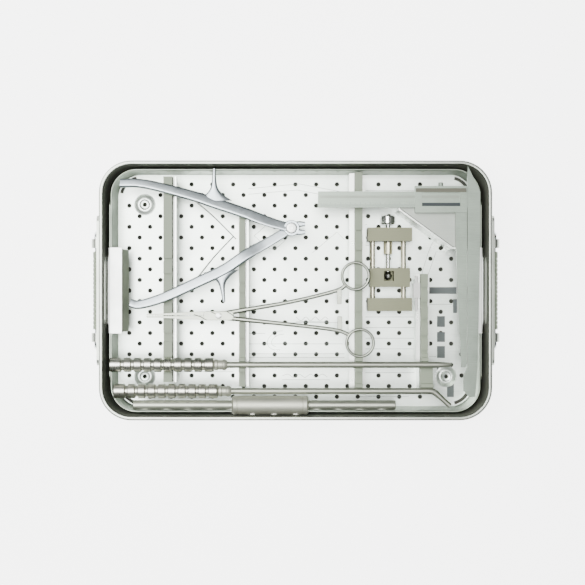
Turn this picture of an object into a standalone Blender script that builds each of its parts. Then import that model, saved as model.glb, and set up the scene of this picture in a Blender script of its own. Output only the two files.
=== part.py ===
"""Veterinary instrument tray: an outer case, a lift-out perforated tray with rails, and its instruments.

Metres, +Z up, +X along the tray, origin on the table under the centre of the case.
"""

import math

import bmesh
import bpy
from mathutils import Matrix, Vector

MM = 0.001
GAP = 0.3 * MM  # between pieces that touch
CUT_OVER = 1 * MM  # of each cutter beyond the face that it opens

# Outer case
CASE_LENGTH = 398 * MM
CASE_WIDTH = 263 * MM
CASE_HEIGHT = 74 * MM
CASE_CORNER = 33 * MM
CASE_SHEET = 1.0 * MM
CASE_DRAFT = 1.2 * MM
CASE_FILLET = 5 * MM
LIP_WIDTH = 3.6 * MM
LIP_DROP = 5 * MM
VENT_RADIUS = 2.5 * MM
VENT_PITCH = 22 * MM
VENT_DEPTH = 12 * MM  # of the vents' centres below the rim
WINDOW_LENGTH = 69 * MM
WINDOW_HEIGHT = 18 * MM
WINDOW_CORNER = 7 * MM
WINDOW_DEPTH = 21 * MM  # of the hand windows' centres below the rim

# Carrying handles on the case's ends
END_PLATE_LENGTH = 153 * MM
END_PLATE_HEIGHT = 46 * MM
END_PLATE_PROUD = 3 * MM
END_PLATE_CORNER = 6 * MM
EAR_WIDTH = 9 * MM
EAR_RADIUS = 5 * MM
EAR_ROOT = 1 * MM  # into the end plate
HANDLE_SPAN = 118 * MM
HANDLE_WIRE_RADIUS = 2.5 * MM
HANDLE_DROP = 32 * MM
HANDLE_KICK = 4.5 * MM  # of the grip away from the case
HANDLE_BEND = 6 * MM
HANDLE_BORE_CLEARANCE = 0.3 * MM
GRIP_LENGTH = 82 * MM
GRIP_RADIUS = 4.4 * MM
GRIP_CHAMFER = 0.8 * MM

# Lift-out tray
TRAY_CLEARANCE_X = 4.9 * MM
TRAY_CLEARANCE_Y = 2.5 * MM
TRAY_CORNER = 27 * MM
TRAY_SHEET = 0.9 * MM
TRAY_FLOOR_SHEET = 1.0 * MM
TRAY_RIM = 2.0 * MM
TRAY_RIM_DROP = 4.5 * MM
TRAY_RIM_CHAMFER = 0.6 * MM
TRAY_DRAFT = 0.8 * MM
TRAY_FLANGE = 4.5 * MM
TRAY_DEPTH = 38.5 * MM
FOOT_HEIGHT = 11.2 * MM
FOOT_RADIUS = 8.5 * MM
FOOT_BORE = 2.2 * MM
FOOT_SPACING_X = 319 * MM
FOOT_SPACING_Y = 182 * MM

# Perforations of the tray's floor
HOLE_PITCH_X = 22.0 * MM
HOLE_PITCH_Y = 22.5 * MM
HOLE_RADIUS = 2.25 * MM
HOLE_EDGE = 1.5 * MM  # from a hole to a foot or a slot
HOLE_SIDES = 6
HOLE_MARGIN = 6.5 * MM  # from a hole's centre to the wall
SLOT_WIDTH = 3.0 * MM
SLOT_INSET = 0.9 * MM
SLOT_SWEEP = math.radians(64)

# Finger grips and stiffening plates of the tray
TRAY_PLATE_LENGTH = 185 * MM
TRAY_PLATE_THICKNESS = 2.2 * MM
TRAY_PLATE_HEIGHT = 24 * MM
TRAY_PLATE_CORNER = 4 * MM
TRAY_GRIP_LENGTH = 88 * MM
TRAY_GRIP_REACH = 12 * MM
TRAY_GRIP_DROP = 17 * MM
TRAY_GRIP_SLOPE = 5.5 * MM

# Rails: sheet brackets that carry combs
COMB_TOP = 41.2 * MM  # above the tray's floor
COMB_HEIGHT = 13 * MM
RAIL_SHEET = 1.5 * MM
RAIL_FOOT = 10 * MM
RAIL_END_CLEARANCE = 1.2 * MM  # from the foot of the tray's wall
SADDLE_TOP = 6 * MM  # of the rod saddles above the combs
SADDLE_WALL = 3.5 * MM
NOTCH_DEPTH = 3 * MM

# Rods that lie along the tray
ROD_HEIGHT = 46.7 * MM  # of the rods' axes above the tray's floor
ROD_CLEARANCE = 0.5 * MM
AWL_BUTT = -189.6 * MM
AWL_HANDLE_RADIUS = 7.4 * MM
AWL_GROOVE_RADIUS = 5.6 * MM
AWL_HANDLE_LENGTH = 106.3 * MM
AWL_RIBS = 8
AWL_RIB_PITCH = 10.3 * MM
AWL_FERRULE_RADIUS = 5.6 * MM
AWL_FERRULE_LENGTH = 13.2 * MM
AWL_SHAFT_RADIUS = 3.2 * MM
AWL_RIB_SLOPE = 1.2 * MM
AWL_RIB_CHAMFER = 1.2 * MM
AWL_FERRULE_CHAMFER = 1 * MM
AWL_LANE_Y = -68.7 * MM  # the near edge of the straight awl's saddles, clear of the forceps' ring
STRAIGHT_AWL_Y = AWL_LANE_Y - SADDLE_WALL - ROD_CLEARANCE - AWL_SHAFT_RADIUS
STRAIGHT_AWL_TIP = 159.9 * MM
HOOKED_AWL_Y = -102.7 * MM
HOOKED_AWL_BUTT = -185.5 * MM
HOOKED_AWL_BEND = 137 * MM
HOOKED_AWL_HOOK = 26 * MM
HOOKED_AWL_BEND_RADIUS = 10 * MM
HOOKED_AWL_ANGLE = math.radians(42)
GRIP_ROD_Y = -117 * MM
GRIP_ROD_START = -165.9 * MM
GRIP_ROD_END = 102 * MM
GRIP_ROD_RADIUS = 5.1 * MM
GRIP_ROD_CHAMFER = 0.8 * MM
GRIP_ROD_RISE = 0.5 * MM  # of the grip rod's axis above the awls' axes
GRIP_SLEEVE_START = -64.9 * MM
GRIP_SLEEVE_END = 13.2 * MM
GRIP_SLEEVE_RADIUS = 9.6 * MM
GRIP_SLEEVE_CHAMFER = 1.6 * MM

# Pliers
PLIERS_PIVOT = (-4.1 * MM, 63.8 * MM)
PLIERS_THICKNESS = 6 * MM
PLIERS_ARM_WIDTH = 10.2 * MM
PLIERS_LAP = 52 * MM  # the stretch from the pivot where the arms are half as thick
PLIERS_BOSS_RADIUS = 8.2 * MM
PLIERS_PIN_RADIUS = 3 * MM
PLIERS_PIN_HEAD_RADIUS = 5.6 * MM
SPRING_THICKNESS = 1.0 * MM
SPRING_HEIGHT = 2.4 * MM

# Forceps
FORCEPS_PIVOT = (-78.7 * MM, -25.8 * MM)
FORCEPS_THICKNESS = 4 * MM
FORCEPS_SHANK_WIDTH = 3.6 * MM
FORCEPS_LOCK_LENGTH = 31 * MM
FORCEPS_LOCK_WIDTH = 9 * MM
FORCEPS_JAW_LENGTH = 73 * MM
FORCEPS_JAW_ROOT = 2.8 * MM
FORCEPS_JAW_TIP = 1.2 * MM
FORCEPS_RING_RADIUS = 13.8 * MM
FORCEPS_RING_WIRE = 1.25 * MM
FORCEPS_SCREW_RADIUS = 2 * MM
FORCEPS_SCREW_HEAD = (1.2 * MM, 0.7 * MM)  # beyond the shank, and high
FORCEPS_LOCK_CORNER = 2 * MM
FORCEPS_SHANK_RELIEF = 0.6 * MM
FORCEPS_SHANK_ROOT = 6 * MM  # from the lock to where the shank is full height
FORCEPS_JAW_GAP = 0.2 * MM  # of each jaw from the middle line
FORCEPS_JAW_INSET = 3 * MM  # of the jaws' roots in the lock
RATCHET_HALF = 2.6 * MM

# Caliper
CALIPER_HEIGHT = 51.4 * MM  # of the beam's underside above the tray's floor
BEAM_START = 22.8 * MM
BEAM_WIDTH = 16.3 * MM
BEAM_THICKNESS = 3.6 * MM
BEAM_Y = 92.4 * MM
JAW_LINE = 174.2 * MM  # where the jaws meet
FIXED_JAW_WIDTH = 13.2 * MM
NIB_TOP = 126.2 * MM
FIXED_JAW_TIP = -108 * MM
FIXED_JAW_TAPER = 2.6 * MM
FIXED_JAW_TOE = 3.4 * MM  # of the toe beyond the line where the jaws meet
FIXED_JAW_TOE_LENGTH = (8 * MM, 6 * MM)  # of the slopes above and below the toe
FIXED_JAW_POINT = 2 * MM
NIB_INSET = 0.6 * MM
JAW_ROOT_LAP = 1 * MM  # of the moving jaw into the slider
JAW_BLOCK_LENGTH = 26 * MM
JAW_POINT = (5.6 * MM, 1.6 * MM)
JAW_BEVEL = 4 * MM
VERNIER_MARGIN = (7 * MM, 1.2 * MM)  # of the window from the slider's ends and the beam's edges
LOCK_SCREW_RADIUS = 1.1 * MM
LOCK_SCREW_CLEARANCE = 0.6 * MM
LOCK_HEAD = (2.4 * MM, 3.4 * MM)  # radius and length
SLIDER_LENGTH = 52.8 * MM
SLIDER_WIDTH = 27 * MM
SLIDER_WRAP = 1.6 * MM
SLIDER_CLEARANCE = 0.35 * MM
MOVING_JAW_TIP = -77.7 * MM
MOVING_JAW_WIDTH = 11.6 * MM

# Screw clamp
CLAMP_X = 97.0 * MM
CLAMP_HEIGHT = 26 * MM
CLAMP_BAR_WIDTH = 45.9 * MM
CLAMP_BAR_SHIFT = 1.2 * MM  # of the bars from the screw, towards +X
CLAMP_TOP_BAR = (51.4 * MM, 65.4 * MM)
CLAMP_MOVING_BAR = (3.7 * MM, 23.4 * MM)
CLAMP_LOWER_BAR = (-21.3 * MM, -7.8 * MM)
CLAMP_MOVING_INSET = 2.2 * MM  # of the moving bar's ends from the fixed bars' ends
CLAMP_SEAT = 6 * MM  # of the posts in the fixed bars
CLAMP_BALL_INSET = 8.2 * MM  # of the ball's centre from the moving bar's back
CLAMP_POST_SPACING = 32.4 * MM
CLAMP_POST_RADIUS = 2.6 * MM
CLAMP_BUSH_RADIUS = 4.4 * MM
CLAMP_BUSH_LENGTH = 13.4 * MM
CLAMP_SCREW_RADIUS = 2.2 * MM
CLAMP_BALL_RADIUS = 4.2 * MM
CLAMP_KNOB_RADIUS = 7.3 * MM
CLAMP_KNOB_LENGTH = 8.8 * MM
CLAMP_KNOB_GAP = 4.2 * MM
CLAMP_KNOB_CHAMFER = 1 * MM
CLAMP_BUSH_CHAMFER = 0.6 * MM
CLAMP_CLEARANCE = 0.4 * MM

# Heights worked out from the sizes above
TRAY_FOOT_BOTTOM = CASE_SHEET + GAP
TRAY_FLOOR_BOTTOM = TRAY_FOOT_BOTTOM + FOOT_HEIGHT + GAP
TRAY_FLOOR_TOP = TRAY_FLOOR_BOTTOM + TRAY_FLOOR_SHEET
TRAY_FLANGE_TOP = TRAY_FLOOR_BOTTOM - GAP
TRAY_TOP = TRAY_FLOOR_TOP + TRAY_DEPTH
COMB_Z = TRAY_FLOOR_TOP + COMB_TOP
REST_Z = COMB_Z + GAP  # the plane that flat instruments lie on
ROD_Z = TRAY_FLOOR_TOP + ROD_HEIGHT
CALIPER_Z = TRAY_FLOOR_TOP + CALIPER_HEIGHT

# Half sizes worked out from the sizes above
CASE_HALF_X = CASE_LENGTH / 2
CASE_HALF_Y = CASE_WIDTH / 2
CASE_WALL_X = CASE_HALF_X - LIP_WIDTH
CASE_WALL_Y = CASE_HALF_Y - LIP_WIDTH
TRAY_HALF_X = CASE_WALL_X - TRAY_CLEARANCE_X
TRAY_HALF_Y = CASE_WALL_Y - TRAY_CLEARANCE_Y
TRAY_INNER_X = TRAY_HALF_X - TRAY_RIM
TRAY_INNER_Y = TRAY_HALF_Y - TRAY_RIM
TRAY_FOOT_X = TRAY_INNER_X - TRAY_DRAFT
TRAY_FOOT_Y = TRAY_INNER_Y - TRAY_DRAFT
TRAY_INNER_CORNER = TRAY_CORNER - TRAY_RIM

ROUND_STEPS = 20
FINE_STEPS = 14


# ---------------------------------------------------------------- scene and materials


def clear_scene():
    for obj in list(bpy.data.objects):
        bpy.data.objects.remove(obj, do_unlink=True)


def new_collection(name):
    collection = bpy.data.collections.new(name)
    bpy.context.scene.collection.children.link(collection)
    return collection


def new_material(name, colour, metallic, roughness):
    material = bpy.data.materials.new(name)
    material.use_nodes = True
    shader = material.node_tree.nodes["Principled BSDF"]
    shader.inputs["Base Color"].default_value = (*colour, 1)
    shader.inputs["Metallic"].default_value = metallic
    shader.inputs["Roughness"].default_value = roughness
    return material


clear_scene()
PARTS = new_collection("instrument_tray")
STAINLESS = {"colour": (0.72, 0.74, 0.71), "metallic": 1.0, "roughness": 0.34}
SATIN_STEEL = {"colour": (0.62, 0.65, 0.66), "metallic": 1.0, "roughness": 0.28}
CALIPER_STEEL = {"colour": (0.60, 0.62, 0.58), "metallic": 1.0, "roughness": 0.45}
SILICONE = {"colour": (0.36, 0.38, 0.29), "metallic": 0.0, "roughness": 0.65}
CLAMP_ALLOY = {"colour": (0.46, 0.46, 0.38), "metallic": 0.8, "roughness": 0.48}
WHITE_PLASTIC = {"colour": (0.88, 0.88, 0.86), "metallic": 0.0, "roughness": 0.4}
CHROME = {"colour": (0.85, 0.86, 0.86), "metallic": 1.0, "roughness": 0.1}


# ---------------------------------------------------------------- solids


def link(name, data):
    obj = bpy.data.objects.new(name, data)
    PARTS.objects.link(obj)
    return obj


def finish_mesh(mesh, matrix):
    """Weld loose seams, move the mesh by the matrix and point its faces out."""
    mesh.transform(matrix)
    bm = bmesh.new()
    bm.from_mesh(mesh)
    bmesh.ops.remove_doubles(bm, verts=bm.verts, dist=1e-6)
    bmesh.ops.recalc_face_normals(bm, faces=bm.faces)
    bm.to_mesh(mesh)
    bm.free()


def baked(obj):
    """Replace an object by the plain mesh that its curve or modifiers make."""
    bpy.context.view_layer.update()
    evaluated = obj.evaluated_get(bpy.context.evaluated_depsgraph_get())
    mesh = bpy.data.meshes.new_from_object(evaluated)
    finish_mesh(mesh, obj.matrix_world)
    name = obj.name
    bpy.data.objects.remove(obj, do_unlink=True)
    solid = link(name, mesh)
    mesh.name = name
    return solid


PLANES = {
    # local X, local Y and local Z of an outline become these world axes
    "XY": Matrix.Identity(4),
    "YZ": Matrix(((0, 0, 1, 0), (1, 0, 0, 0), (0, 1, 0, 0), (0, 0, 0, 1))),
    "XZ": Matrix(((1, 0, 0, 0), (0, 0, -1, 0), (0, 1, 0, 0), (0, 0, 0, 1))),
}


def extruded(name, loops, low, high, plane="XY"):
    """A flat outline, with any holes, made solid from low to high along the plane's normal."""
    curve = bpy.data.curves.new(name, "CURVE")
    curve.dimensions = "2D"
    curve.fill_mode = "BOTH"
    curve.extrude = (high - low) / 2
    for loop in loops:
        spline = curve.splines.new("POLY")
        spline.points.add(len(loop) - 1)
        for point, (u, v) in zip(spline.points, loop):
            point.co = (u, v, 0, 1)
        spline.use_cyclic_u = True
    obj = link(name, curve)
    middle = (low + high) / 2
    if plane == "XZ":
        middle = -middle
    obj.matrix_world = PLANES[plane] @ Matrix.Translation((0, 0, middle))
    return baked(obj)


def turned(name, profile, axis, start, steps=FINE_STEPS):
    """A profile of (radius, distance along the axis) turned about an axis through start."""
    mesh = bpy.data.meshes.new(name)
    points = [(radius, 0, -distance) for radius, distance in profile]
    mesh.from_pydata(points, [(i, i + 1) for i in range(len(points) - 1)], [])
    obj = link(name, mesh)
    screw = obj.modifiers.new("turn", "SCREW")
    screw.steps = steps
    screw.render_steps = steps
    screw.use_merge_vertices = True
    screw.merge_threshold = 0.00001
    direction = Vector({"X": (1, 0, 0), "Y": (0, 1, 0), "Z": (0, 0, 1)}[axis])
    turn = Vector((0, 0, -1)).rotation_difference(direction).to_matrix().to_4x4()
    obj.matrix_world = Matrix.Translation(start) @ turn
    return baked(obj)


def rod_profile(radius, length, chamfer=0.0):
    """A plain cylinder's profile, with both ends chamfered where asked."""
    if not chamfer:
        return [(0, 0), (radius, 0), (radius, length), (0, length)]
    return [
        (0, 0),
        (radius - chamfer, 0),
        (radius, chamfer),
        (radius, length - chamfer),
        (radius - chamfer, length),
        (0, length),
    ]


def sleeve_profile(outer, inner, length, chamfer=0.0):
    """A tube's closed profile."""
    return [
        (inner, 0),
        (outer - chamfer, 0),
        (outer, chamfer),
        (outer, length - chamfer),
        (outer - chamfer, length),
        (inner, length),
        (inner, 0),
    ] if chamfer else [(inner, 0), (outer, 0), (outer, length), (inner, length), (inner, 0)]


def wire(name, points, radius):
    """A round wire with closed ends along the points."""
    curve = bpy.data.curves.new(name, "CURVE")
    curve.dimensions = "3D"
    curve.bevel_depth = radius
    curve.bevel_resolution = 2
    curve.use_fill_caps = True
    spline = curve.splines.new("POLY")
    spline.points.add(len(points) - 1)
    for point, place in zip(spline.points, points):
        point.co = (*place, 1)
    return baked(link(name, curve))


def box(name, low, high):
    bpy.ops.mesh.primitive_cube_add(size=1)
    cube = bpy.context.active_object
    mesh = cube.data.copy()
    bpy.data.objects.remove(cube, do_unlink=True)
    size = Vector(high) - Vector(low)
    finish_mesh(mesh, Matrix.Translation((Vector(low) + Vector(high)) / 2) @ Matrix.Diagonal((*size, 1)))
    return link(name, mesh)


def combined(base, others, operation):
    """Join the others to the base, or cut them out of it, and remove them."""
    for other in others:
        modifier = base.modifiers.new(operation, "BOOLEAN")
        modifier.operation = operation
        modifier.solver = "EXACT"
        modifier.object = other
    solid = baked(base)
    for other in others:
        bpy.data.objects.remove(other, do_unlink=True)
    return solid


def joined(base, *others):
    return combined(base, others, "UNION")


def cut(base, *others):
    return combined(base, others, "DIFFERENCE")


def dress(obj, look, material_name, smooth=True):
    """Give a finished solid its own material and smooth its round faces."""
    mesh = obj.data
    mesh.materials.clear()
    mesh.materials.append(new_material(material_name, **look))
    if smooth:
        mesh.shade_smooth()
        mesh.set_sharp_from_angle(angle=math.radians(35))
    return obj


# ---------------------------------------------------------------- outlines


def arc(centre, radius, start, end, steps):
    """Points along an arc, in radians, both ends included."""
    return [
        (
            centre[0] + radius * math.cos(start + (end - start) * i / steps),
            centre[1] + radius * math.sin(start + (end - start) * i / steps),
        )
        for i in range(steps + 1)
    ]


def circle(centre, radius, sides):
    """A polygon with the same area as the circle, so that a coarse hole keeps its size."""
    area_radius = radius * math.sqrt(2 * math.pi / (sides * math.sin(2 * math.pi / sides)))
    return arc(centre, area_radius, 0, 2 * math.pi * (sides - 1) / sides, sides - 1)


def rounded_rectangle(half_u, half_v, radius, steps=6, centre=(0, 0)):
    points = []
    for quarter, (su, sv) in enumerate(((1, 1), (-1, 1), (-1, -1), (1, -1))):
        middle = (centre[0] + su * (half_u - radius), centre[1] + sv * (half_v - radius))
        turn = quarter * math.pi / 2
        points += arc(middle, radius, turn, turn + math.pi / 2, steps)
    return points


def smooth_line(points, per_span=3):
    """Points along a Catmull-Rom curve through the given ones."""
    line = []
    padded = [points[0], *points, points[-1]]
    for a, b, c, d in zip(padded, padded[1:], padded[2:], padded[3:]):
        for i in range(per_span):
            t = i / per_span
            line.append(
                tuple(
                    0.5 * (2 * q + (r - p) * t + (2 * p - 5 * q + 4 * r - s) * t**2
                           + (3 * q - p - 3 * r + s) * t**3)
                    for p, q, r, s in zip(a, b, c, d)
                )
            )
    return [*line, points[-1]]


def strip(line, start_width, end_width=None):
    """The outline of a band along a line, its width running evenly from start to end."""
    if end_width is None:
        end_width = start_width
    left, right = [], []
    for i, (x, y) in enumerate(line):
        before = line[max(i - 1, 0)]
        after = line[min(i + 1, len(line) - 1)]
        dx, dy = after[0] - before[0], after[1] - before[1]
        length = math.hypot(dx, dy)
        half = (start_width + (end_width - start_width) * i / (len(line) - 1)) / 2
        nx, ny = -dy / length * half, dx / length * half
        left.append((x + nx, y + ny))
        right.append((x - nx, y - ny))
    return left + right[::-1]


def shifted(points, place):
    return [(x + place[0], y + place[1]) for x, y in points]


def bent_sheet(line, thickness):
    """The outline of a folded sheet: the line and its copy one thickness to the left, mitred."""
    normals = []
    for (x0, y0), (x1, y1) in zip(line, line[1:]):
        length = math.hypot(x1 - x0, y1 - y0)
        normals.append((-(y1 - y0) / length, (x1 - x0) / length))
    other = []
    for i, (x, y) in enumerate(line):
        a = normals[max(i - 1, 0)]
        b = normals[min(i, len(normals) - 1)]
        mitre = thickness / (1 + a[0] * b[0] + a[1] * b[1])
        other.append((x + (a[0] + b[0]) * mitre, y + (a[1] + b[1]) * mitre))
    return line + other[::-1]


def lofted_sheet(name, sections, thickness, closed_bottom):
    """A pressed sheet through rounded rectangles (half x, half y, corner, z), thickened below."""
    bm = bmesh.new()
    rings = []
    for half_x, half_y, corner, z in sections:
        outline = rounded_rectangle(half_x, half_y, corner)
        rings.append([bm.verts.new((x, y, z)) for x, y in outline])
    for upper, lower in zip(rings, rings[1:]):
        count = len(upper)
        for i in range(count):
            j = (i + 1) % count
            bm.faces.new((upper[i], upper[j], lower[j], lower[i]))
    if closed_bottom:
        bm.faces.new(rings[-1])
    mesh = bpy.data.meshes.new(name)
    bm.to_mesh(mesh)
    bm.free()
    obj = link(name, mesh)
    solidify = obj.modifiers.new("sheet", "SOLIDIFY")
    solidify.thickness = thickness
    solidify.offset = -1
    solidify.use_even_offset = True
    return baked(obj)


# ---------------------------------------------------------------- outer case


def build_case():
    fillet = CASE_FILLET
    foot_x = CASE_WALL_X - CASE_DRAFT
    foot_y = CASE_WALL_Y - CASE_DRAFT
    corner = CASE_CORNER - LIP_WIDTH
    soft = math.sin(math.pi / 4)
    sections = [
        (CASE_HALF_X, CASE_HALF_Y, CASE_CORNER, CASE_HEIGHT - LIP_DROP),
        (CASE_HALF_X, CASE_HALF_Y, CASE_CORNER, CASE_HEIGHT),
        (CASE_WALL_X, CASE_WALL_Y, corner, CASE_HEIGHT),
        (foot_x, foot_y, corner, CASE_SHEET + fillet),
        (
            foot_x - fillet * (1 - soft),
            foot_y - fillet * (1 - soft),
            corner - fillet * (1 - soft),
            CASE_SHEET + fillet * (1 - soft),
        ),
        (foot_x - fillet, foot_y - fillet, corner - fillet, CASE_SHEET),
    ]
    shell = lofted_sheet("case_shell", sections, CASE_SHEET, closed_bottom=True)
    window = extruded("hand_windows", [window_outline()], -CASE_LENGTH, CASE_LENGTH, "YZ")
    cutters = [window]
    vents = int((CASE_HALF_X - CASE_CORNER - VENT_PITCH / 2) / VENT_PITCH)
    for i in range(-vents, vents + 1):
        start = (i * VENT_PITCH, -CASE_WIDTH, CASE_HEIGHT - VENT_DEPTH)
        profile = rod_profile(VENT_RADIUS, 2 * CASE_WIDTH)
        cutters.append(turned(f"vent_{i}", profile, "Y", start, HOLE_SIDES))
    shell = cut(shell, *cutters)
    dress(shell, STAINLESS, "case_steel")


def window_outline():
    """The hand window that passes through the end wall and its plate."""
    centre = (0, CASE_HEIGHT - WINDOW_DEPTH)
    return rounded_rectangle(WINDOW_LENGTH / 2, WINDOW_HEIGHT / 2, WINDOW_CORNER, 4, centre)


def handle_pivot(side):
    """The middle of a carrying handle's hinge axis."""
    x = CASE_HALF_X + END_PLATE_PROUD + HANDLE_WIRE_RADIUS
    return Vector((side * x, 0, CASE_HEIGHT - WINDOW_DEPTH))


def build_end_plate(side, label):
    top = CASE_HEIGHT - LIP_DROP - GAP
    middle = top - END_PLATE_HEIGHT / 2
    outline = rounded_rectangle(
        END_PLATE_LENGTH / 2, END_PLATE_HEIGHT / 2, END_PLATE_CORNER, 3, (0, middle)
    )
    inner_x = CASE_WALL_X + CASE_SHEET + GAP
    outer_x = CASE_HALF_X + END_PLATE_PROUD
    low, high = sorted((side * inner_x, side * outer_x))
    plate = extruded(
        f"case_end_plate_{label}", [outline, window_outline()], low, high, "YZ"
    )
    pivot = handle_pivot(side)
    ears = []
    bores = []
    for end in (-1, 1):
        ear_y = end * (HANDLE_SPAN / 2 - HANDLE_BEND - EAR_WIDTH / 2 - GAP)
        low_y, high_y = ear_y - EAR_WIDTH / 2, ear_y + EAR_WIDTH / 2
        nose = arc((pivot.x, pivot.z), EAR_RADIUS, -math.pi / 2, math.pi / 2, 6)
        root = outer_x - EAR_ROOT
        points = [(side * root, pivot.z - EAR_RADIUS)]
        points += [(side * (abs(pivot.x) + (x - pivot.x)), z) for x, z in nose]
        points += [(side * root, pivot.z + EAR_RADIUS)]
        ears.append(extruded(f"ear_{end}", [points], low_y, high_y, "XZ"))
        bore = HANDLE_WIRE_RADIUS + HANDLE_BORE_CLEARANCE
        start = (pivot.x, low_y - EAR_WIDTH / 2, pivot.z)
        bores.append(turned(f"ear_bore_{end}", rod_profile(bore, 2 * EAR_WIDTH), "Y", start, 12))
    plate = cut(joined(plate, *ears), *bores)
    dress(plate, STAINLESS, f"end_plate_steel_{label}")


def build_handle(side, label):
    pivot = handle_pivot(side)
    half = HANDLE_SPAN / 2
    inner = half - HANDLE_BEND - EAR_WIDTH - 2 * GAP
    kick = side * HANDLE_KICK
    bottom = pivot.z - HANDLE_DROP
    path = [(pivot.x, inner, pivot.z)]
    path += [
        (pivot.x, half - HANDLE_BEND + y, pivot.z - HANDLE_BEND + z)
        for y, z in arc((0, 0), HANDLE_BEND, math.pi / 2, 0, 4)
    ]
    path += [
        (pivot.x + kick, half - HANDLE_BEND + y, bottom + HANDLE_BEND + z)
        for y, z in arc((0, 0), HANDLE_BEND, 0, -math.pi / 2, 4)
    ]
    mirrored = [(x, -y, z) for x, y, z in path[::-1]]
    bail = wire(f"carry_handle_{label}", path + mirrored, HANDLE_WIRE_RADIUS)
    dress(bail, SATIN_STEEL, f"handle_wire_{label}")
    sleeve = sleeve_profile(GRIP_RADIUS, HANDLE_WIRE_RADIUS + GAP, GRIP_LENGTH, GRIP_CHAMFER)
    start = (pivot.x + kick, -GRIP_LENGTH / 2, bottom)
    grip = turned(f"carry_grip_{label}", sleeve, "Y", start)
    dress(grip, SILICONE, f"grip_rubber_{label}")
    return [bail, grip]


# ---------------------------------------------------------------- lift-out tray


def corner_slot(su, sv):
    """A drain slot that follows the inside of one corner of the tray."""
    outer = TRAY_INNER_CORNER - TRAY_DRAFT - SLOT_INSET
    centre = (
        su * (TRAY_FOOT_X - TRAY_INNER_CORNER + TRAY_DRAFT),
        sv * (TRAY_FOOT_Y - TRAY_INNER_CORNER + TRAY_DRAFT),
    )
    middle = math.atan2(sv, su)
    start, end = middle - SLOT_SWEEP / 2, middle + SLOT_SWEEP / 2
    outside = arc(centre, outer, start, end, 6)
    inside = arc(centre, outer - SLOT_WIDTH, end, start, 6)
    return outside + inside


def corner_slots():
    return [corner_slot(su, sv) for su in (-1, 1) for sv in (-1, 1)]


def foot_places():
    return [
        (su * FOOT_SPACING_X / 2, sv * FOOT_SPACING_Y / 2) for sv in (1, -1) for su in (-1, 1)
    ]


def floor_holes():
    """Two staggered grids of holes, left out over feet, corner slots and rail feet."""
    half_x = TRAY_FOOT_X - HOLE_MARGIN
    half_y = TRAY_FOOT_Y - HOLE_MARGIN
    centres = []
    for shift in (0, 0.5):
        columns = int(half_x / HOLE_PITCH_X) + 1
        rows = int(half_y / HOLE_PITCH_Y) + 1
        for i in range(-columns, columns + 1):
            for j in range(-rows, rows + 1):
                x = (i + shift) * HOLE_PITCH_X
                y = (j + shift) * HOLE_PITCH_Y
                if abs(x) <= half_x and abs(y) <= half_y and hole_is_free(x, y):
                    centres.append((x, y))
    return centres


def hole_is_free(x, y):
    reach = HOLE_RADIUS + HOLE_EDGE
    for fx, fy in foot_places():
        if math.hypot(x - fx, y - fy) < FOOT_RADIUS + reach:
            return False
    corner = TRAY_INNER_CORNER - TRAY_DRAFT
    over_x = abs(x) - (TRAY_FOOT_X - corner)
    over_y = abs(y) - (TRAY_FOOT_Y - corner)
    if over_x > 0 and over_y > 0:
        if math.hypot(over_x, over_y) > corner - SLOT_INSET - SLOT_WIDTH - reach:
            return False
    for rail in RAILS:
        low, high = rail_foot_span(rail)
        if low - HOLE_RADIUS * 0.4 < x < high + HOLE_RADIUS * 0.4 and rail["low"] < y < rail["high"]:
            return False
    return True


def build_tray_floor():
    half_x = TRAY_FOOT_X - GAP
    half_y = TRAY_FOOT_Y - GAP
    outline = rounded_rectangle(half_x, half_y, TRAY_INNER_CORNER - TRAY_DRAFT - GAP)
    loops = [outline, *corner_slots()]
    loops += [circle(centre, HOLE_RADIUS, HOLE_SIDES) for centre in floor_holes()]
    loops += [circle(place, FOOT_BORE, 8) for place in foot_places()]
    floor = extruded("tray_floor", loops, TRAY_FLOOR_BOTTOM, TRAY_FLOOR_TOP)
    return [dress(floor, STAINLESS, "tray_floor_steel", smooth=False)]


def build_tray_walls():
    corner = TRAY_INNER_CORNER
    sections = [
        (TRAY_HALF_X, TRAY_HALF_Y, TRAY_CORNER, TRAY_TOP - TRAY_RIM_DROP),
        (TRAY_HALF_X, TRAY_HALF_Y, TRAY_CORNER, TRAY_TOP - TRAY_RIM_CHAMFER),
        (
            TRAY_HALF_X - TRAY_RIM_CHAMFER,
            TRAY_HALF_Y - TRAY_RIM_CHAMFER,
            TRAY_CORNER - TRAY_RIM_CHAMFER,
            TRAY_TOP,
        ),
        (TRAY_INNER_X, TRAY_INNER_Y, corner, TRAY_TOP),
        (TRAY_FOOT_X, TRAY_FOOT_Y, corner - TRAY_DRAFT, TRAY_FLANGE_TOP),
        (
            TRAY_FOOT_X - TRAY_FLANGE,
            TRAY_FOOT_Y - TRAY_FLANGE,
            corner - TRAY_DRAFT - TRAY_FLANGE,
            TRAY_FLANGE_TOP,
        ),
    ]
    walls = lofted_sheet("tray_walls", sections, TRAY_SHEET, closed_bottom=False)
    drains = [
        extruded(f"drain_{i}", [slot], 0, TRAY_FLANGE_TOP + CUT_OVER)
        for i, slot in enumerate(corner_slots())
    ]
    walls = cut(walls, *drains)
    return [dress(walls, STAINLESS, "tray_wall_steel")]


def build_tray_feet():
    feet = []
    for number, (x, y) in enumerate(foot_places(), 1):
        profile = [
            (FOOT_BORE, 0),
            (FOOT_RADIUS * 0.6, 0),
            (FOOT_RADIUS, FOOT_HEIGHT * 0.35),
            (FOOT_RADIUS, FOOT_HEIGHT),
            (FOOT_BORE, FOOT_HEIGHT),
            (FOOT_BORE, 0),
        ]
        foot = turned(f"tray_foot_{number}", profile, "Z", (x, y, TRAY_FOOT_BOTTOM), 12)
        feet.append(dress(foot, SILICONE, f"foot_rubber_{number}"))
    return feet


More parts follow.
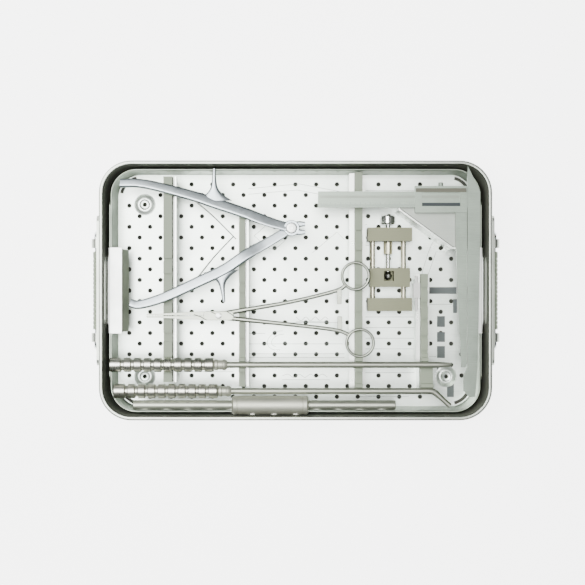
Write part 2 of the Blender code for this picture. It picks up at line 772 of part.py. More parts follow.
def build_tray_plate(side, label):
    """The stiffening plate outside one end wall, under the rim."""
    inner = TRAY_INNER_X + TRAY_SHEET + GAP
    top = TRAY_TOP - TRAY_RIM_DROP - GAP
    half_height = TRAY_PLATE_HEIGHT / 2
    outline = rounded_rectangle(
        TRAY_PLATE_LENGTH / 2, half_height, TRAY_PLATE_CORNER, 2, (0, top - half_height)
    )
    low, high = sorted((side * inner, side * (inner + TRAY_PLATE_THICKNESS)))
    plate = extruded(f"tray_end_plate_{label}", [outline], low, high, "YZ")
    return [dress(plate, STAINLESS, f"tray_plate_steel_{label}")]


def build_tray_grip(side, label):
    """A folded finger grip that hooks over the rim and turns down inside the wall."""
    outer = TRAY_HALF_X + GAP
    line = [
        (outer, TRAY_TOP - TRAY_RIM_DROP + TRAY_RIM_CHAMFER),
        (outer, TRAY_TOP + GAP),
        (TRAY_HALF_X - TRAY_GRIP_REACH, TRAY_TOP + GAP),
        (TRAY_HALF_X - TRAY_GRIP_REACH - TRAY_GRIP_SLOPE, TRAY_TOP - TRAY_GRIP_DROP),
    ]
    outline = bent_sheet(line, -TRAY_SHEET)
    if side < 0:
        outline = [(-x, z) for x, z in outline]
    half = TRAY_GRIP_LENGTH / 2
    grip = extruded(f"tray_grip_{label}", [outline], -half, half, "XZ")
    return [dress(grip, STAINLESS, f"tray_grip_steel_{label}", smooth=False)]


# ---------------------------------------------------------------- rails and combs

# Each rail runs along Y: comb from x to x + width, shelf ledge on one side, ends at low and high.
# The ledge of the first two is turned up by their lip.
RAILS = [
    {"x": -135.6 * MM, "width": 8.9 * MM, "ledge": 4.1 * MM, "side": 1, "lip": 10.5 * MM,
     "low": -94 * MM, "high": 117 * MM},
    {"x": -58.0 * MM, "width": 6.2 * MM, "ledge": 3.6 * MM, "side": 1, "lip": 9.5 * MM,
     "low": -98.5 * MM, "high": 84 * MM},
    {"x": 61.0 * MM, "width": 7.7 * MM, "ledge": 5.4 * MM, "side": -1, "lip": 0,
     "low": -105.5 * MM, "high": 122 * MM},
    {"x": 128.7 * MM, "width": 7.2 * MM, "ledge": 3.8 * MM, "side": -1, "lip": 0,
     "low": -78.5 * MM, "high": 17 * MM},
]
# The small notches of each comb: (centre, width)
SMALL_NOTCHES = [
    [(31.5 * MM, 3.4 * MM), (15.4 * MM, 4.2 * MM), (-13 * MM, 4.2 * MM), (-48 * MM, 9 * MM)],
    [(72 * MM, 5 * MM), (6 * MM, 4.2 * MM), (-4 * MM, 4.2 * MM), (-52 * MM, 6 * MM)],
    [(56 * MM, 12 * MM), (36 * MM, 11 * MM), (4 * MM, 4 * MM), (-24 * MM, 5 * MM)],
    [(2 * MM, 3.2 * MM), (-14 * MM, 4.8 * MM), (-31 * MM, 4 * MM), (-47.5 * MM, 3.2 * MM),
     (-63 * MM, 3.2 * MM)],
]


def rail_shelf_z():
    return COMB_Z - COMB_HEIGHT - GAP


def rail_foot_span(rail):
    """The stretch along X that a rail's foot covers on the floor."""
    web = rail_web_x(rail)
    other = web - rail["side"] * RAIL_FOOT
    return min(web, other), max(web, other)


def rail_web_x(rail):
    """The outer face of a rail's upright sheet, under the middle of its comb."""
    return rail["x"] + rail["width"] / 2 + rail["side"] * RAIL_SHEET / 2


def rail_high(rail):
    """Where a rail ends: at its own length, or short of the tray's wall."""
    return min(rail["high"], TRAY_FOOT_Y - RAIL_END_CLEARANCE)


def rod_steps(radius, y):
    """The saddle that holds a rod: two raised walls and the low seat between them."""
    half = radius + ROD_CLEARANCE
    seat = ROD_Z - radius - GAP
    raised = COMB_Z + SADDLE_TOP
    return [
        (y - half - SADDLE_WALL, y - half, raised),
        (y - half, y + half, seat),
        (y + half, y + half + SADDLE_WALL, raised),
    ]


def comb_steps(number, rail):
    """Stretches of a comb's top, as (from y, to y, height)."""
    steps = [
        (y - width / 2, y + width / 2, COMB_Z - NOTCH_DEPTH)
        for y, width in SMALL_NOTCHES[number]
    ]
    if number == 0:
        half = AWL_HANDLE_RADIUS + ROD_CLEARANCE
        seat = ROD_Z - AWL_HANDLE_RADIUS - GAP
        steps.append((STRAIGHT_AWL_Y - half, STRAIGHT_AWL_Y + half, seat))
    else:
        steps += rod_steps(AWL_SHAFT_RADIUS, STRAIGHT_AWL_Y)
        if rail["low"] < HOOKED_AWL_Y:
            steps += rod_steps(AWL_SHAFT_RADIUS, HOOKED_AWL_Y)
    return sorted(steps)


def stepped_outline(low, high, bottom, top, steps):
    """A bar's side view whose top follows the steps."""
    points = [(low, bottom), (high, bottom)]
    level = []
    y = low
    for start, end, height in steps:
        if end <= low or start >= high:
            continue
        start, end = max(start, low), min(end, high)
        if start > y:
            level.append((y, start, top))
        level.append((start, end, height))
        y = end
    if y < high:
        level.append((y, high, top))
    for start, end, height in reversed(level):
        points += [(end, height), (start, height)]
    return points


def build_rail(number, rail):
    """A folded bracket: foot on the floor, upright, and a shelf that carries the comb."""
    side = rail["side"]
    web = rail_web_x(rail)
    base = TRAY_FLOOR_TOP + GAP
    shelf = rail_shelf_z()
    near = rail["x"] if side > 0 else rail["x"] + rail["width"]
    far = rail["x"] + rail["width"] + rail["ledge"] if side > 0 else rail["x"] - rail["ledge"]
    inner = web - side * RAIL_SHEET
    foot = web - side * RAIL_FOOT
    section = [(web, base), (foot, base), (foot, base + RAIL_SHEET), (inner, base + RAIL_SHEET)]
    section += [(inner, shelf - RAIL_SHEET), (near, shelf - RAIL_SHEET), (near, shelf)]
    if rail["lip"]:
        lip_face = far - side * RAIL_SHEET
        section += [(lip_face, shelf), (lip_face, shelf + rail["lip"]), (far, shelf + rail["lip"])]
    else:
        section.append((far, shelf))
    section += [(far, shelf - RAIL_SHEET), (web, shelf - RAIL_SHEET)]
    upright = extruded(
        f"rail_bracket_{number + 1}", [section], rail["low"], rail_high(rail), "XZ"
    )
    return dress(upright, STAINLESS, f"rail_steel_{number + 1}", smooth=False)


def build_comb(number, rail):
    bottom = COMB_Z - COMB_HEIGHT
    outline = stepped_outline(
        rail["low"], rail_high(rail), bottom, COMB_Z, comb_steps(number, rail)
    )
    comb = extruded(
        f"comb_{number + 1}", [outline], rail["x"], rail["x"] + rail["width"], "YZ"
    )
    return dress(comb, SILICONE, f"comb_silicone_{number + 1}", smooth=False)


def build_rails():
    pieces = []
    for number, rail in enumerate(RAILS):
        pieces += [build_rail(number, rail), build_comb(number, rail)]
    return pieces


END_PAD_X = (127.7 * MM, 141.0 * MM)
END_PAD_Y = (-105.5 * MM, -79.5 * MM)
END_PAD_HEIGHT = 9 * MM


def build_end_pad():
    """The wide pad that seats the hooked awl's shaft, on its own folded stand."""
    steps = rod_steps(AWL_SHAFT_RADIUS, HOOKED_AWL_Y)
    outline = stepped_outline(*END_PAD_Y, COMB_Z - END_PAD_HEIGHT, COMB_Z, steps)
    pad = extruded("end_pad", [outline], *END_PAD_X, "YZ")
    dress(pad, SILICONE, "end_pad_silicone", smooth=False)
    base = TRAY_FLOOR_TOP + GAP
    top = COMB_Z - END_PAD_HEIGHT - GAP
    left, right = END_PAD_X
    sheet = [(left, base), (left, top), (right, top), (right, base)]
    stand = extruded(
        "end_pad_stand", [bent_sheet(sheet, -RAIL_SHEET)], *END_PAD_Y, "XZ"
    )
    dress(stand, STAINLESS, "end_pad_stand_steel", smooth=False)
    return [pad, stand]


CORNER_BRACKET_PLAN = [
    (106.6 * MM, 101.0 * MM),
    (106.6 * MM, 83.0 * MM),
    (160.5 * MM, 44.0 * MM),
    (171.0 * MM, 44.0 * MM),
]
CORNER_PAD_THICKNESS = 7 * MM
CORNER_PAD_CLEARANCE = 0.2 * MM


def corner_pad_top():
    return CALIPER_Z - SLIDER_WRAP - SLIDER_CLEARANCE - GAP - CORNER_PAD_CLEARANCE


def build_corner_bracket():
    """The diagonal stand under the caliper, with the pad that it frames."""
    base = TRAY_FLOOR_TOP + GAP
    top = corner_pad_top()
    plan = bent_sheet(CORNER_BRACKET_PLAN, -RAIL_SHEET)
    bracket = extruded("corner_bracket", [plan], base, top)
    dress(bracket, STAINLESS, "corner_bracket_steel", smooth=False)
    (x0, y0), (x1, y1), (x2, y2), (x3, y3) = CORNER_BRACKET_PLAN
    inside = GAP + CORNER_PAD_CLEARANCE
    pad_plan = [
        (x0 + inside, y0),
        (x1 + inside, y1 + inside),
        (x2 + inside, y2 + inside),
        (x3, y3 + inside),
        (x3, y0),
    ]
    pad = extruded("corner_pad", [pad_plan], top - CORNER_PAD_THICKNESS, top)
    dress(pad, SILICONE, "corner_pad_silicone", smooth=False)
    return [bracket, pad]


CLIP_WIDTH = 6.8 * MM
CLIP_Y = (-7.7 * MM, 7.7 * MM)
CLIP_PIN_Y = (-21 * MM, 15 * MM)
CLIP_PIN_RADIUS = 1.4 * MM
CLIP_PIN_CHAMFER = 0.3 * MM
CLIP_HEIGHT = 7 * MM


def build_clip():
    """The white snap clip on the ledge of the fourth rail, round its pin."""
    base = rail_shelf_z() + GAP
    high_x = RAILS[3]["x"] - GAP
    low_x = high_x - CLIP_WIDTH
    middle = (low_x + high_x) / 2
    clip = box("retaining_clip", (low_x, CLIP_Y[0], base), (high_x, CLIP_Y[1], base + CLIP_HEIGHT))
    axis_z = base + CLIP_HEIGHT * 0.55
    bore = turned(
        "clip_bore",
        rod_profile(CLIP_PIN_RADIUS + GAP, 4 * CLIP_Y[1]),
        "Y",
        (middle, -2 * CLIP_Y[1], axis_z),
        10,
    )
    clip = cut(clip, bore)
    dress(clip, WHITE_PLASTIC, "clip_plastic")
    pin = turned(
        "clip_pin",
        rod_profile(CLIP_PIN_RADIUS, CLIP_PIN_Y[1] - CLIP_PIN_Y[0], CLIP_PIN_CHAMFER),
        "Y",
        (middle, CLIP_PIN_Y[0], axis_z),
        10,
    )
    dress(pin, WHITE_PLASTIC, "clip_pin_plastic")
    return [clip, pin]


# ---------------------------------------------------------------- pliers

# Points from the pivot outwards along each arm's middle line
UPPER_ARM = [(-22, 6.1), (-47.5, 15.3), (-78.2, 25.5), (-103.7, 33.7), (-149.7, 45), (-175.2, 46)]
LOWER_ARM = [(-22, -13.3), (-45.5, -26.6), (-67.9, -41.9), (-93.5, -54.1), (-129.2, -70.5),
             (-154.8, -78.2), (-165, -76.6)]
UPPER_SPUR = [(-79, 27), (-79.2, 45), (-79, 60.8)]
LOWER_SPUR = [(-72, -45), (-70.8, -60), (-69, -75.1)]
UPPER_JAW = [(0, 0), (7, -4), (14, -4.2)]
LOWER_JAW = [(0, 0), (7, 4), (14, 4.2)]
UPPER_SPRING = [(-99.2, 26.0), (-80, 12), (-56.7, -11.2)]
LOWER_SPRING = [(-94.6, -47.6), (-78, -28), (-59.8, -8.8)]
JAW_WIDTH = 5.4 * MM
SPUR_ROOT = 15 * MM
SPUR_TIP = 3 * MM
SPUR_INSET = 1 * MM  # of the spurs' faces from the arms' faces
LAP_RELIEF = 0.8 * MM  # by which the half-thick stretch is narrower than the arm
FACE_STEP = 0.05 * MM  # between faces of merged solids, so that none are coplanar
PIN_HEAD_EDGE = 0.9 * MM
PIN_HEAD_HEIGHT = 1.5 * MM
PIN_HEAD_CHAMFER = 1.2 * MM
LOWER_SPRING_RISE = 0.2 * MM  # of its underside above the arms' underside
UPPER_SPRING_RISE = 0.4 * MM  # of its underside above the arms' mid plane


def at_pivot(points, pivot):
    return [(x * MM + pivot[0], y * MM + pivot[1]) for x, y in points]


def beyond(line, centre, reach):
    """The part of a line that is further than reach from the centre."""
    return [p for p in line if math.hypot(p[0] - centre[0], p[1] - centre[1]) > reach]


def build_pliers_arm(name, arm, spur, jaw, lap_low, lap_high):
    """One arm: half-thick round the pivot so that the two arms cross, full beyond."""
    low, high = REST_Z, REST_Z + PLIERS_THICKNESS
    line = smooth_line([PLIERS_PIVOT, *at_pivot(arm, PLIERS_PIVOT)])
    inset = FACE_STEP
    near_line = [p for p in line if p not in beyond(line, PLIERS_PIVOT, PLIERS_LAP * 1.3)]
    lap = extruded(
        name, [strip(near_line, PLIERS_ARM_WIDTH - LAP_RELIEF)], lap_low + inset, lap_high - inset
    )
    full_line = beyond(line, PLIERS_PIVOT, PLIERS_LAP)
    full = extruded("full", [strip(full_line, PLIERS_ARM_WIDTH)], low, high)
    spur_line = smooth_line(at_pivot(spur, PLIERS_PIVOT))
    hook = extruded("spur", [strip(spur_line, SPUR_ROOT, SPUR_TIP)], low + SPUR_INSET, high - SPUR_INSET)
    boss = extruded(
        "boss", [circle(PLIERS_PIVOT, PLIERS_BOSS_RADIUS, ROUND_STEPS)], lap_low, lap_high
    )
    jaw_line = at_pivot(jaw, PLIERS_PIVOT)
    nose = extruded("jaw", [strip(jaw_line, JAW_WIDTH)], lap_low + 2 * inset, lap_high - 2 * inset)
    bore_profile = rod_profile(PLIERS_PIN_RADIUS + GAP, 3 * PLIERS_THICKNESS)
    bore = turned("bore", bore_profile, "Z", (*PLIERS_PIVOT, low - PLIERS_THICKNESS), 16)
    solid = cut(joined(lap, full, hook, boss, nose), bore)
    return dress(solid, SATIN_STEEL, f"{name}_steel")


def build_pliers():
    half = PLIERS_THICKNESS / 2
    low = REST_Z
    lower = build_pliers_arm(
        "pliers_lower_arm", LOWER_ARM, LOWER_SPUR, LOWER_JAW, low, low + half - GAP / 2
    )
    upper = build_pliers_arm(
        "pliers_upper_arm", UPPER_ARM, UPPER_SPUR, UPPER_JAW, low + half + GAP / 2, low + 2 * half
    )
    top = low + PLIERS_THICKNESS + GAP
    profile = [
        (0, 0),
        (PLIERS_PIN_RADIUS, 0),
        (PLIERS_PIN_RADIUS, top - low),
        (PLIERS_PIN_HEAD_RADIUS, top - low),
        (PLIERS_PIN_HEAD_RADIUS, top - low + PIN_HEAD_EDGE),
        (PLIERS_PIN_HEAD_RADIUS - PIN_HEAD_CHAMFER, top - low + PIN_HEAD_HEIGHT),
        (0, top - low + PIN_HEAD_HEIGHT),
    ]
    pin = turned("pliers_pivot_pin", profile, "Z", (*PLIERS_PIVOT, low), 16)
    dress(pin, SATIN_STEEL, "pliers_pin_steel")
    springs = []
    for name, points, base in (
        ("pliers_lower_spring", LOWER_SPRING, low + LOWER_SPRING_RISE),
        ("pliers_upper_spring", UPPER_SPRING, low + half + UPPER_SPRING_RISE),
    ):
        line = smooth_line(at_pivot(points, PLIERS_PIVOT), 4)
        spring = extruded(name, [strip(line, SPRING_THICKNESS)], base, base + SPRING_HEIGHT)
        springs.append(dress(spring, SATIN_STEEL, f"{name}_steel"))
    return [lower, pin, springs[0]], [upper, springs[1]]


# ---------------------------------------------------------------- forceps

MOVING_SHANK = [(11.7, 3.4), (73, 14), (119, 25.2), (130.4, 31.2)]
FIXED_SHANK = [(11.7, -2.6), (73, -9), (119, -14.6), (134, -19.8)]
MOVING_RING = (140.2, 40.6)
FIXED_RING = (144.8, -27.9)
RATCHET_X = 124.5
RATCHET_LENGTH = 15


def build_forceps_half(name, side, shank, ring, lap_low, lap_high):
    """One half: shank and ring on one side of the box lock, its jaw on the other."""
    low, high = REST_Z, REST_Z + FORCEPS_THICKNESS
    pivot = FORCEPS_PIVOT
    inset = FACE_STEP
    half_lock = FORCEPS_LOCK_LENGTH / 2
    lock = extruded(
        name,
        [rounded_rectangle(half_lock, FORCEPS_LOCK_WIDTH / 2, FORCEPS_LOCK_CORNER, 3, pivot)],
        lap_low,
        lap_high,
    )
    line = smooth_line(at_pivot(shank, pivot))
    shank_low = low + (GAP if side > 0 else inset)
    bar_line = line[: len(line) // 2]
    bar_width = FORCEPS_SHANK_WIDTH - FORCEPS_SHANK_RELIEF
    bar = extruded("shank", [strip(bar_line, bar_width)], lap_low + inset, lap_high - inset)
    outer = beyond(line, pivot, half_lock + FORCEPS_SHANK_ROOT)
    full = extruded("full", [strip(outer, FORCEPS_SHANK_WIDTH)], shank_low, high - inset)
    jaw_gap = FORCEPS_JAW_GAP
    start = pivot[0] - half_lock + FORCEPS_JAW_INSET
    tip = pivot[0] - FORCEPS_JAW_LENGTH
    jaw_side = -side
    jaw = extruded(
        "jaw",
        [[(start, pivot[1] + jaw_side * jaw_gap), (tip, pivot[1] + jaw_side * jaw_gap),
          (tip, pivot[1] + jaw_side * (jaw_gap + FORCEPS_JAW_TIP)),
          (start, pivot[1] + jaw_side * (jaw_gap + FORCEPS_JAW_ROOT))]],
        lap_low + inset,
        lap_high - inset,
    )
    centre = at_pivot([ring], pivot)[0]
    loop = ring_wire("ring", centre, (low + high) / 2)
    ratchet_y = [p for p in line if p[0] < pivot[0] + RATCHET_X * MM][-1][1]
    reach = ratchet_y - side * RATCHET_LENGTH * MM
    y_low, y_high = sorted((ratchet_y, reach))
    x = pivot[0] + RATCHET_X * MM
    catch = box(
        "ratchet",
        (x - RATCHET_HALF, y_low, lap_low + 2 * inset),
        (x + RATCHET_HALF, y_high, lap_high - 2 * inset),
    )
    bore = turned(
        "bore",
        rod_profile(FORCEPS_SCREW_RADIUS + GAP, 3 * FORCEPS_THICKNESS),
        "Z",
        (*pivot, low - FORCEPS_THICKNESS),
        12,
    )
    solid = cut(joined(lock, bar, full, jaw, catch, loop), bore)
    return dress(solid, SATIN_STEEL, f"{name}_steel")


def ring_wire(name, centre, z):
    bpy.ops.mesh.primitive_torus_add(
        major_radius=FORCEPS_RING_RADIUS,
        minor_radius=FORCEPS_RING_WIRE,
        major_segments=24,
        minor_segments=6,
    )
    torus = bpy.context.active_object
    mesh = torus.data.copy()
    bpy.data.objects.remove(torus, do_unlink=True)
    finish_mesh(mesh, Matrix.Translation((*centre, z)))
    return link(name, mesh)


def build_forceps():
    low = REST_Z
    half = FORCEPS_THICKNESS / 2
    fixed = build_forceps_half(
        "forceps_fixed_half", -1, FIXED_SHANK, FIXED_RING, low, low + half - GAP / 2
    )
    moving = build_forceps_half(
        "forceps_moving_half", 1, MOVING_SHANK, MOVING_RING, low + half + GAP / 2, low + 2 * half
    )
    top = FORCEPS_THICKNESS + GAP
    head_radius = FORCEPS_SCREW_RADIUS + FORCEPS_SCREW_HEAD[0]
    profile = [
        (0, 0),
        (FORCEPS_SCREW_RADIUS, 0),
        (FORCEPS_SCREW_RADIUS, top),
        (head_radius, top),
        (head_radius, top + FORCEPS_SCREW_HEAD[1]),
        (0, top + FORCEPS_SCREW_HEAD[1]),
    ]
    screw = turned("forceps_screw", profile, "Z", (*FORCEPS_PIVOT, low), 12)
    dress(screw, SATIN_STEEL, "forceps_screw_steel")
    return [fixed, screw], [moving]


# ---------------------------------------------------------------- caliper


def build_caliper():
    low = CALIPER_Z
    high = low + BEAM_THICKNESS
    beam_low = BEAM_Y - BEAM_WIDTH / 2
    beam_high = BEAM_Y + BEAM_WIDTH / 2
    right = JAW_LINE + FIXED_JAW_WIDTH
    taper = FIXED_JAW_TAPER
    beam_plan = [
        (BEAM_START, beam_low),
        (JAW_LINE + GAP, beam_low),
        (JAW_LINE + GAP, beam_low - SLIDER_WIDTH),
        (JAW_LINE + GAP, MOVING_JAW_TIP),
        (JAW_LINE - FIXED_JAW_TOE, MOVING_JAW_TIP - FIXED_JAW_TOE_LENGTH[0]),
        (JAW_LINE - FIXED_JAW_TOE, FIXED_JAW_TIP + FIXED_JAW_TOE_LENGTH[1]),
        (JAW_LINE + FIXED_JAW_POINT, FIXED_JAW_TIP),
        (right - 2 * taper, FIXED_JAW_TIP),
        (right - taper, MOVING_JAW_TIP),
        (right, beam_low - SLIDER_WIDTH),
        (right, beam_high),
        (JAW_LINE + NIB_INSET, NIB_TOP),
        (JAW_LINE + GAP, beam_high),
        (BEAM_START, beam_high),
    ]
    beam = extruded("caliper_beam", [beam_plan], low, high)
    dress(beam, CALIPER_STEEL, "caliper_beam_steel", smooth=False)

    slider_right = JAW_LINE - GAP
    slider_left = slider_right - SLIDER_LENGTH
    wrap_low = low - SLIDER_WRAP - SLIDER_CLEARANCE
    wrap_high = high + SLIDER_WRAP + SLIDER_CLEARANCE
    slider = box(
        "caliper_slider",
        (slider_left, BEAM_Y - SLIDER_WIDTH / 2, wrap_low),
        (slider_right, BEAM_Y + SLIDER_WIDTH / 2, wrap_high),
    )
    channel = box(
        "channel",
        (slider_left - SLIDER_LENGTH, beam_low - SLIDER_CLEARANCE, low - SLIDER_CLEARANCE),
        (slider_right + SLIDER_LENGTH, beam_high + SLIDER_CLEARANCE, high + SLIDER_CLEARANCE),
    )
    margin_x, margin_y = VERNIER_MARGIN
    window = box(
        "vernier_window",
        (slider_left + margin_x, beam_low + margin_y, low),
        (slider_right - margin_x, beam_high - margin_y, wrap_high + SLIDER_WRAP),
    )
    jaw_low = BEAM_Y - SLIDER_WIDTH / 2
    jaw = extruded(
        "moving_jaw",
        [[(slider_right, jaw_low + JAW_ROOT_LAP),
          (slider_right - MOVING_JAW_WIDTH, jaw_low + JAW_ROOT_LAP),
          (slider_right - MOVING_JAW_WIDTH, jaw_low - JAW_BLOCK_LENGTH),
          (slider_right - JAW_POINT[0], MOVING_JAW_TIP),
          (slider_right - JAW_POINT[1], MOVING_JAW_TIP),
          (slider_right, MOVING_JAW_TIP + JAW_BEVEL)]],
        low,
        high,
    )
    screw_x = (slider_left + slider_right) / 2
    screw_z = (low + high) / 2
    screw_radius = LOCK_SCREW_RADIUS
    screw_start = beam_high + SLIDER_CLEARANCE + LOCK_SCREW_CLEARANCE
    bore = turned(
        "lock_bore",
        rod_profile(screw_radius + GAP, SLIDER_WIDTH),
        "Y",
        (screw_x, beam_high - CUT_OVER, screw_z),
        10,
    )
    slider = cut(joined(cut(slider, channel, window), jaw), bore)
    dress(slider, CALIPER_STEEL, "caliper_slider_steel", smooth=False)

    head = BEAM_Y + SLIDER_WIDTH / 2 + GAP
    stem = head - screw_start
    knob = [
        (0, 0),
        (screw_radius, 0),
        (screw_radius, stem),
        (LOCK_HEAD[0], stem),
        (LOCK_HEAD[0], stem + LOCK_HEAD[1]),
        (0, stem + LOCK_HEAD[1]),
    ]
    lock = turned("caliper_lock_screw", knob, "Y", (screw_x, screw_start, screw_z), 14)
    dress(lock, CALIPER_STEEL, "caliper_screw_steel")
    return [beam], [slider], [lock]


# ---------------------------------------------------------------- screw clamp


def clamp_bar(name, span, ends=0.0):
    low = TRAY_FLOOR_TOP + GAP
    half = CLAMP_BAR_WIDTH / 2 + ends
    middle = CLAMP_X + CLAMP_BAR_SHIFT
    return box(name, (middle - half, span[0], low), (middle + half, span[1], low + CLAMP_HEIGHT))


def clamp_axis_z():
    return TRAY_FLOOR_TOP + GAP + CLAMP_HEIGHT / 2


def along_y(name, x, radius, span, steps=14):
    """A plain cylinder along Y at the clamp's mid height."""
    return turned(
        name, rod_profile(radius, span[1] - span[0]), "Y", (x, span[0], clamp_axis_z()), steps
    )


def build_clamp():
    posts_x = [CLAMP_X + side * CLAMP_POST_SPACING / 2 for side in (-1, 1)]
    seat = CLAMP_SEAT
    past = CUT_OVER
    post_span = (CLAMP_LOWER_BAR[1] - seat, CLAMP_TOP_BAR[0] + seat)
    top_bar = clamp_bar("clamp_top_bar", CLAMP_TOP_BAR)
    lower_bar = clamp_bar("clamp_lower_bar", CLAMP_LOWER_BAR)
    moving_bar = clamp_bar("clamp_moving_bar", CLAMP_MOVING_BAR, -CLAMP_MOVING_INSET)
    fit = CLAMP_POST_RADIUS + GAP
    screw_hole = CLAMP_SCREW_RADIUS + CLAMP_CLEARANCE
    top_span = (post_span[1] - seat - past, post_span[1] + GAP)
    sockets = [along_y("socket", x, fit, top_span) for x in posts_x]
    bush_span = (CLAMP_TOP_BAR[0] - past, CLAMP_TOP_BAR[1] + past)
    bush_bore = along_y("bush_bore", CLAMP_X, screw_hole, bush_span)
    top_bar = cut(top_bar, *sockets, bush_bore)
    low_span = (post_span[0] - GAP, post_span[0] + seat + past)
    sockets = [along_y("socket", x, fit, low_span) for x in posts_x]
    lower_bar = cut(lower_bar, *sockets)
    slide_span = (CLAMP_MOVING_BAR[0] - past, CLAMP_MOVING_BAR[1] + past)
    slide_hole = CLAMP_POST_RADIUS + CLAMP_CLEARANCE
    slides = [along_y("slide", x, slide_hole, slide_span) for x in posts_x]
    ball_y = CLAMP_MOVING_BAR[1] - CLAMP_BALL_INSET
    pocket_half = CLAMP_BALL_RADIUS + past
    z = clamp_axis_z()
    pocket = box(
        "ball_pocket",
        (CLAMP_X - pocket_half, ball_y - pocket_half, z - pocket_half),
        (CLAMP_X + pocket_half, ball_y + pocket_half, z + CLAMP_HEIGHT),
    )
    entry = along_y("entry", CLAMP_X, screw_hole, (ball_y, CLAMP_MOVING_BAR[1] + past))
    moving_bar = cut(moving_bar, *slides, pocket, entry)
    for bar in (top_bar, lower_bar, moving_bar):
        dress(bar, CLAMP_ALLOY, f"{bar.name}_alloy")

    posts = []
    for label, x in zip(("left", "right"), posts_x):
        post = along_y(f"clamp_post_{label}", x, CLAMP_POST_RADIUS, post_span)
        posts.append(dress(post, SATIN_STEEL, f"clamp_post_steel_{label}"))
    bush_start = CLAMP_TOP_BAR[0] - GAP - CLAMP_BUSH_LENGTH
    bush = turned(
        "clamp_bush",
        sleeve_profile(CLAMP_BUSH_RADIUS, CLAMP_SCREW_RADIUS + CLAMP_CLEARANCE, CLAMP_BUSH_LENGTH,
                       CLAMP_BUSH_CHAMFER),
        "Y",
        (CLAMP_X, bush_start, z),
    )
    dress(bush, CLAMP_ALLOY, "clamp_bush_alloy")

    knob_start = CLAMP_TOP_BAR[1] + CLAMP_KNOB_GAP
    ball_profile = [
        (CLAMP_BALL_RADIUS * math.sin(t), CLAMP_BALL_RADIUS * (1 - math.cos(t)))
        for t in (math.pi * i / 8 for i in range(7))
    ]
    ball_profile = [p for p in ball_profile if p[0] > CLAMP_SCREW_RADIUS or p[1] < CLAMP_BALL_RADIUS]
    ball_start = ball_y - CLAMP_BALL_RADIUS
    shaft_end = knob_start - GAP - ball_start
    screw = turned(
        "clamp_screw",
        [*ball_profile, (CLAMP_SCREW_RADIUS, 2 * CLAMP_BALL_RADIUS), (CLAMP_SCREW_RADIUS, shaft_end),
         (0, shaft_end)],
        "Y",
        (CLAMP_X, ball_start, z),
    )
    dress(screw, CHROME, "clamp_screw_chrome")
    knob = turned(
        "clamp_knob",
        rod_profile(CLAMP_KNOB_RADIUS, CLAMP_KNOB_LENGTH, CLAMP_KNOB_CHAMFER),
        "Y",
        (CLAMP_X, knob_start, z),
        ROUND_STEPS,
    )
    dress(knob, SATIN_STEEL, "clamp_knob_steel")
    return [top_bar, lower_bar, bush, *posts], [moving_bar], [screw, knob]


# ---------------------------------------------------------------- awls and grip rod


def ribbed_profile():
    """A handle's profile: a long butt crest, even ribs, and a long crest at the ferrule."""
    crest = AWL_HANDLE_RADIUS
    groove = AWL_GROOVE_RADIUS
    slope = AWL_RIB_SLOPE
    chamfer = AWL_RIB_CHAMFER
    butt = (AWL_HANDLE_LENGTH - AWL_RIBS * AWL_RIB_PITCH) / 2
    points = [(0, 0), (crest - chamfer, 0), (crest, chamfer), (crest, butt - slope)]
    for i in range(AWL_RIBS):
        start = butt + i * AWL_RIB_PITCH
        end = start + AWL_RIB_PITCH
        points += [(groove, start + slope / 2), (crest, start + 2 * slope), (crest, end - slope)]
    last = AWL_HANDLE_LENGTH
    points.append((groove, last - butt + slope / 2))
    points += [(crest, last - butt + 2 * slope), (crest, last - chamfer), (crest - chamfer, last)]
    return [*points, (0, last)]


def build_awl(name, y, butt, shaft_path):
    handle = turned(f"{name}_handle", ribbed_profile(), "X", (butt, y, ROD_Z), FINE_STEPS)
    dress(handle, SATIN_STEEL, f"{name}_handle_steel")
    ferrule_start = butt + AWL_HANDLE_LENGTH + GAP
    ferrule = turned(
        f"{name}_ferrule",
        sleeve_profile(AWL_FERRULE_RADIUS, AWL_SHAFT_RADIUS + GAP, AWL_FERRULE_LENGTH, AWL_FERRULE_CHAMFER),
        "X",
        (ferrule_start, y, ROD_Z),
    )
    dress(ferrule, SATIN_STEEL, f"{name}_ferrule_steel")
    path = [(ferrule_start, y, ROD_Z), *shaft_path]
    shaft = wire(f"{name}_shaft", path, AWL_SHAFT_RADIUS)
    dress(shaft, SATIN_STEEL, f"{name}_shaft_steel")
    return [handle, ferrule, shaft]


def build_straight_awl():
    tip = [(STRAIGHT_AWL_TIP, STRAIGHT_AWL_Y, ROD_Z)]
    return build_awl("straight_awl", STRAIGHT_AWL_Y, AWL_BUTT, tip)


def build_hooked_awl():
    bend_radius = HOOKED_AWL_BEND_RADIUS
    start = (HOOKED_AWL_BEND, HOOKED_AWL_Y - bend_radius)
    turn = arc(start, bend_radius, math.pi / 2, math.pi / 2 - HOOKED_AWL_ANGLE, 5)
    run = HOOKED_AWL_HOOK - bend_radius * HOOKED_AWL_ANGLE
    last = turn[-1]
    turn.append(
        (
            last[0] + run * math.cos(HOOKED_AWL_ANGLE),
            last[1] - run * math.sin(HOOKED_AWL_ANGLE),
        )
    )
    path = [(x, y, ROD_Z) for x, y in turn]
    return build_awl("hooked_awl", HOOKED_AWL_Y, HOOKED_AWL_BUTT, path)


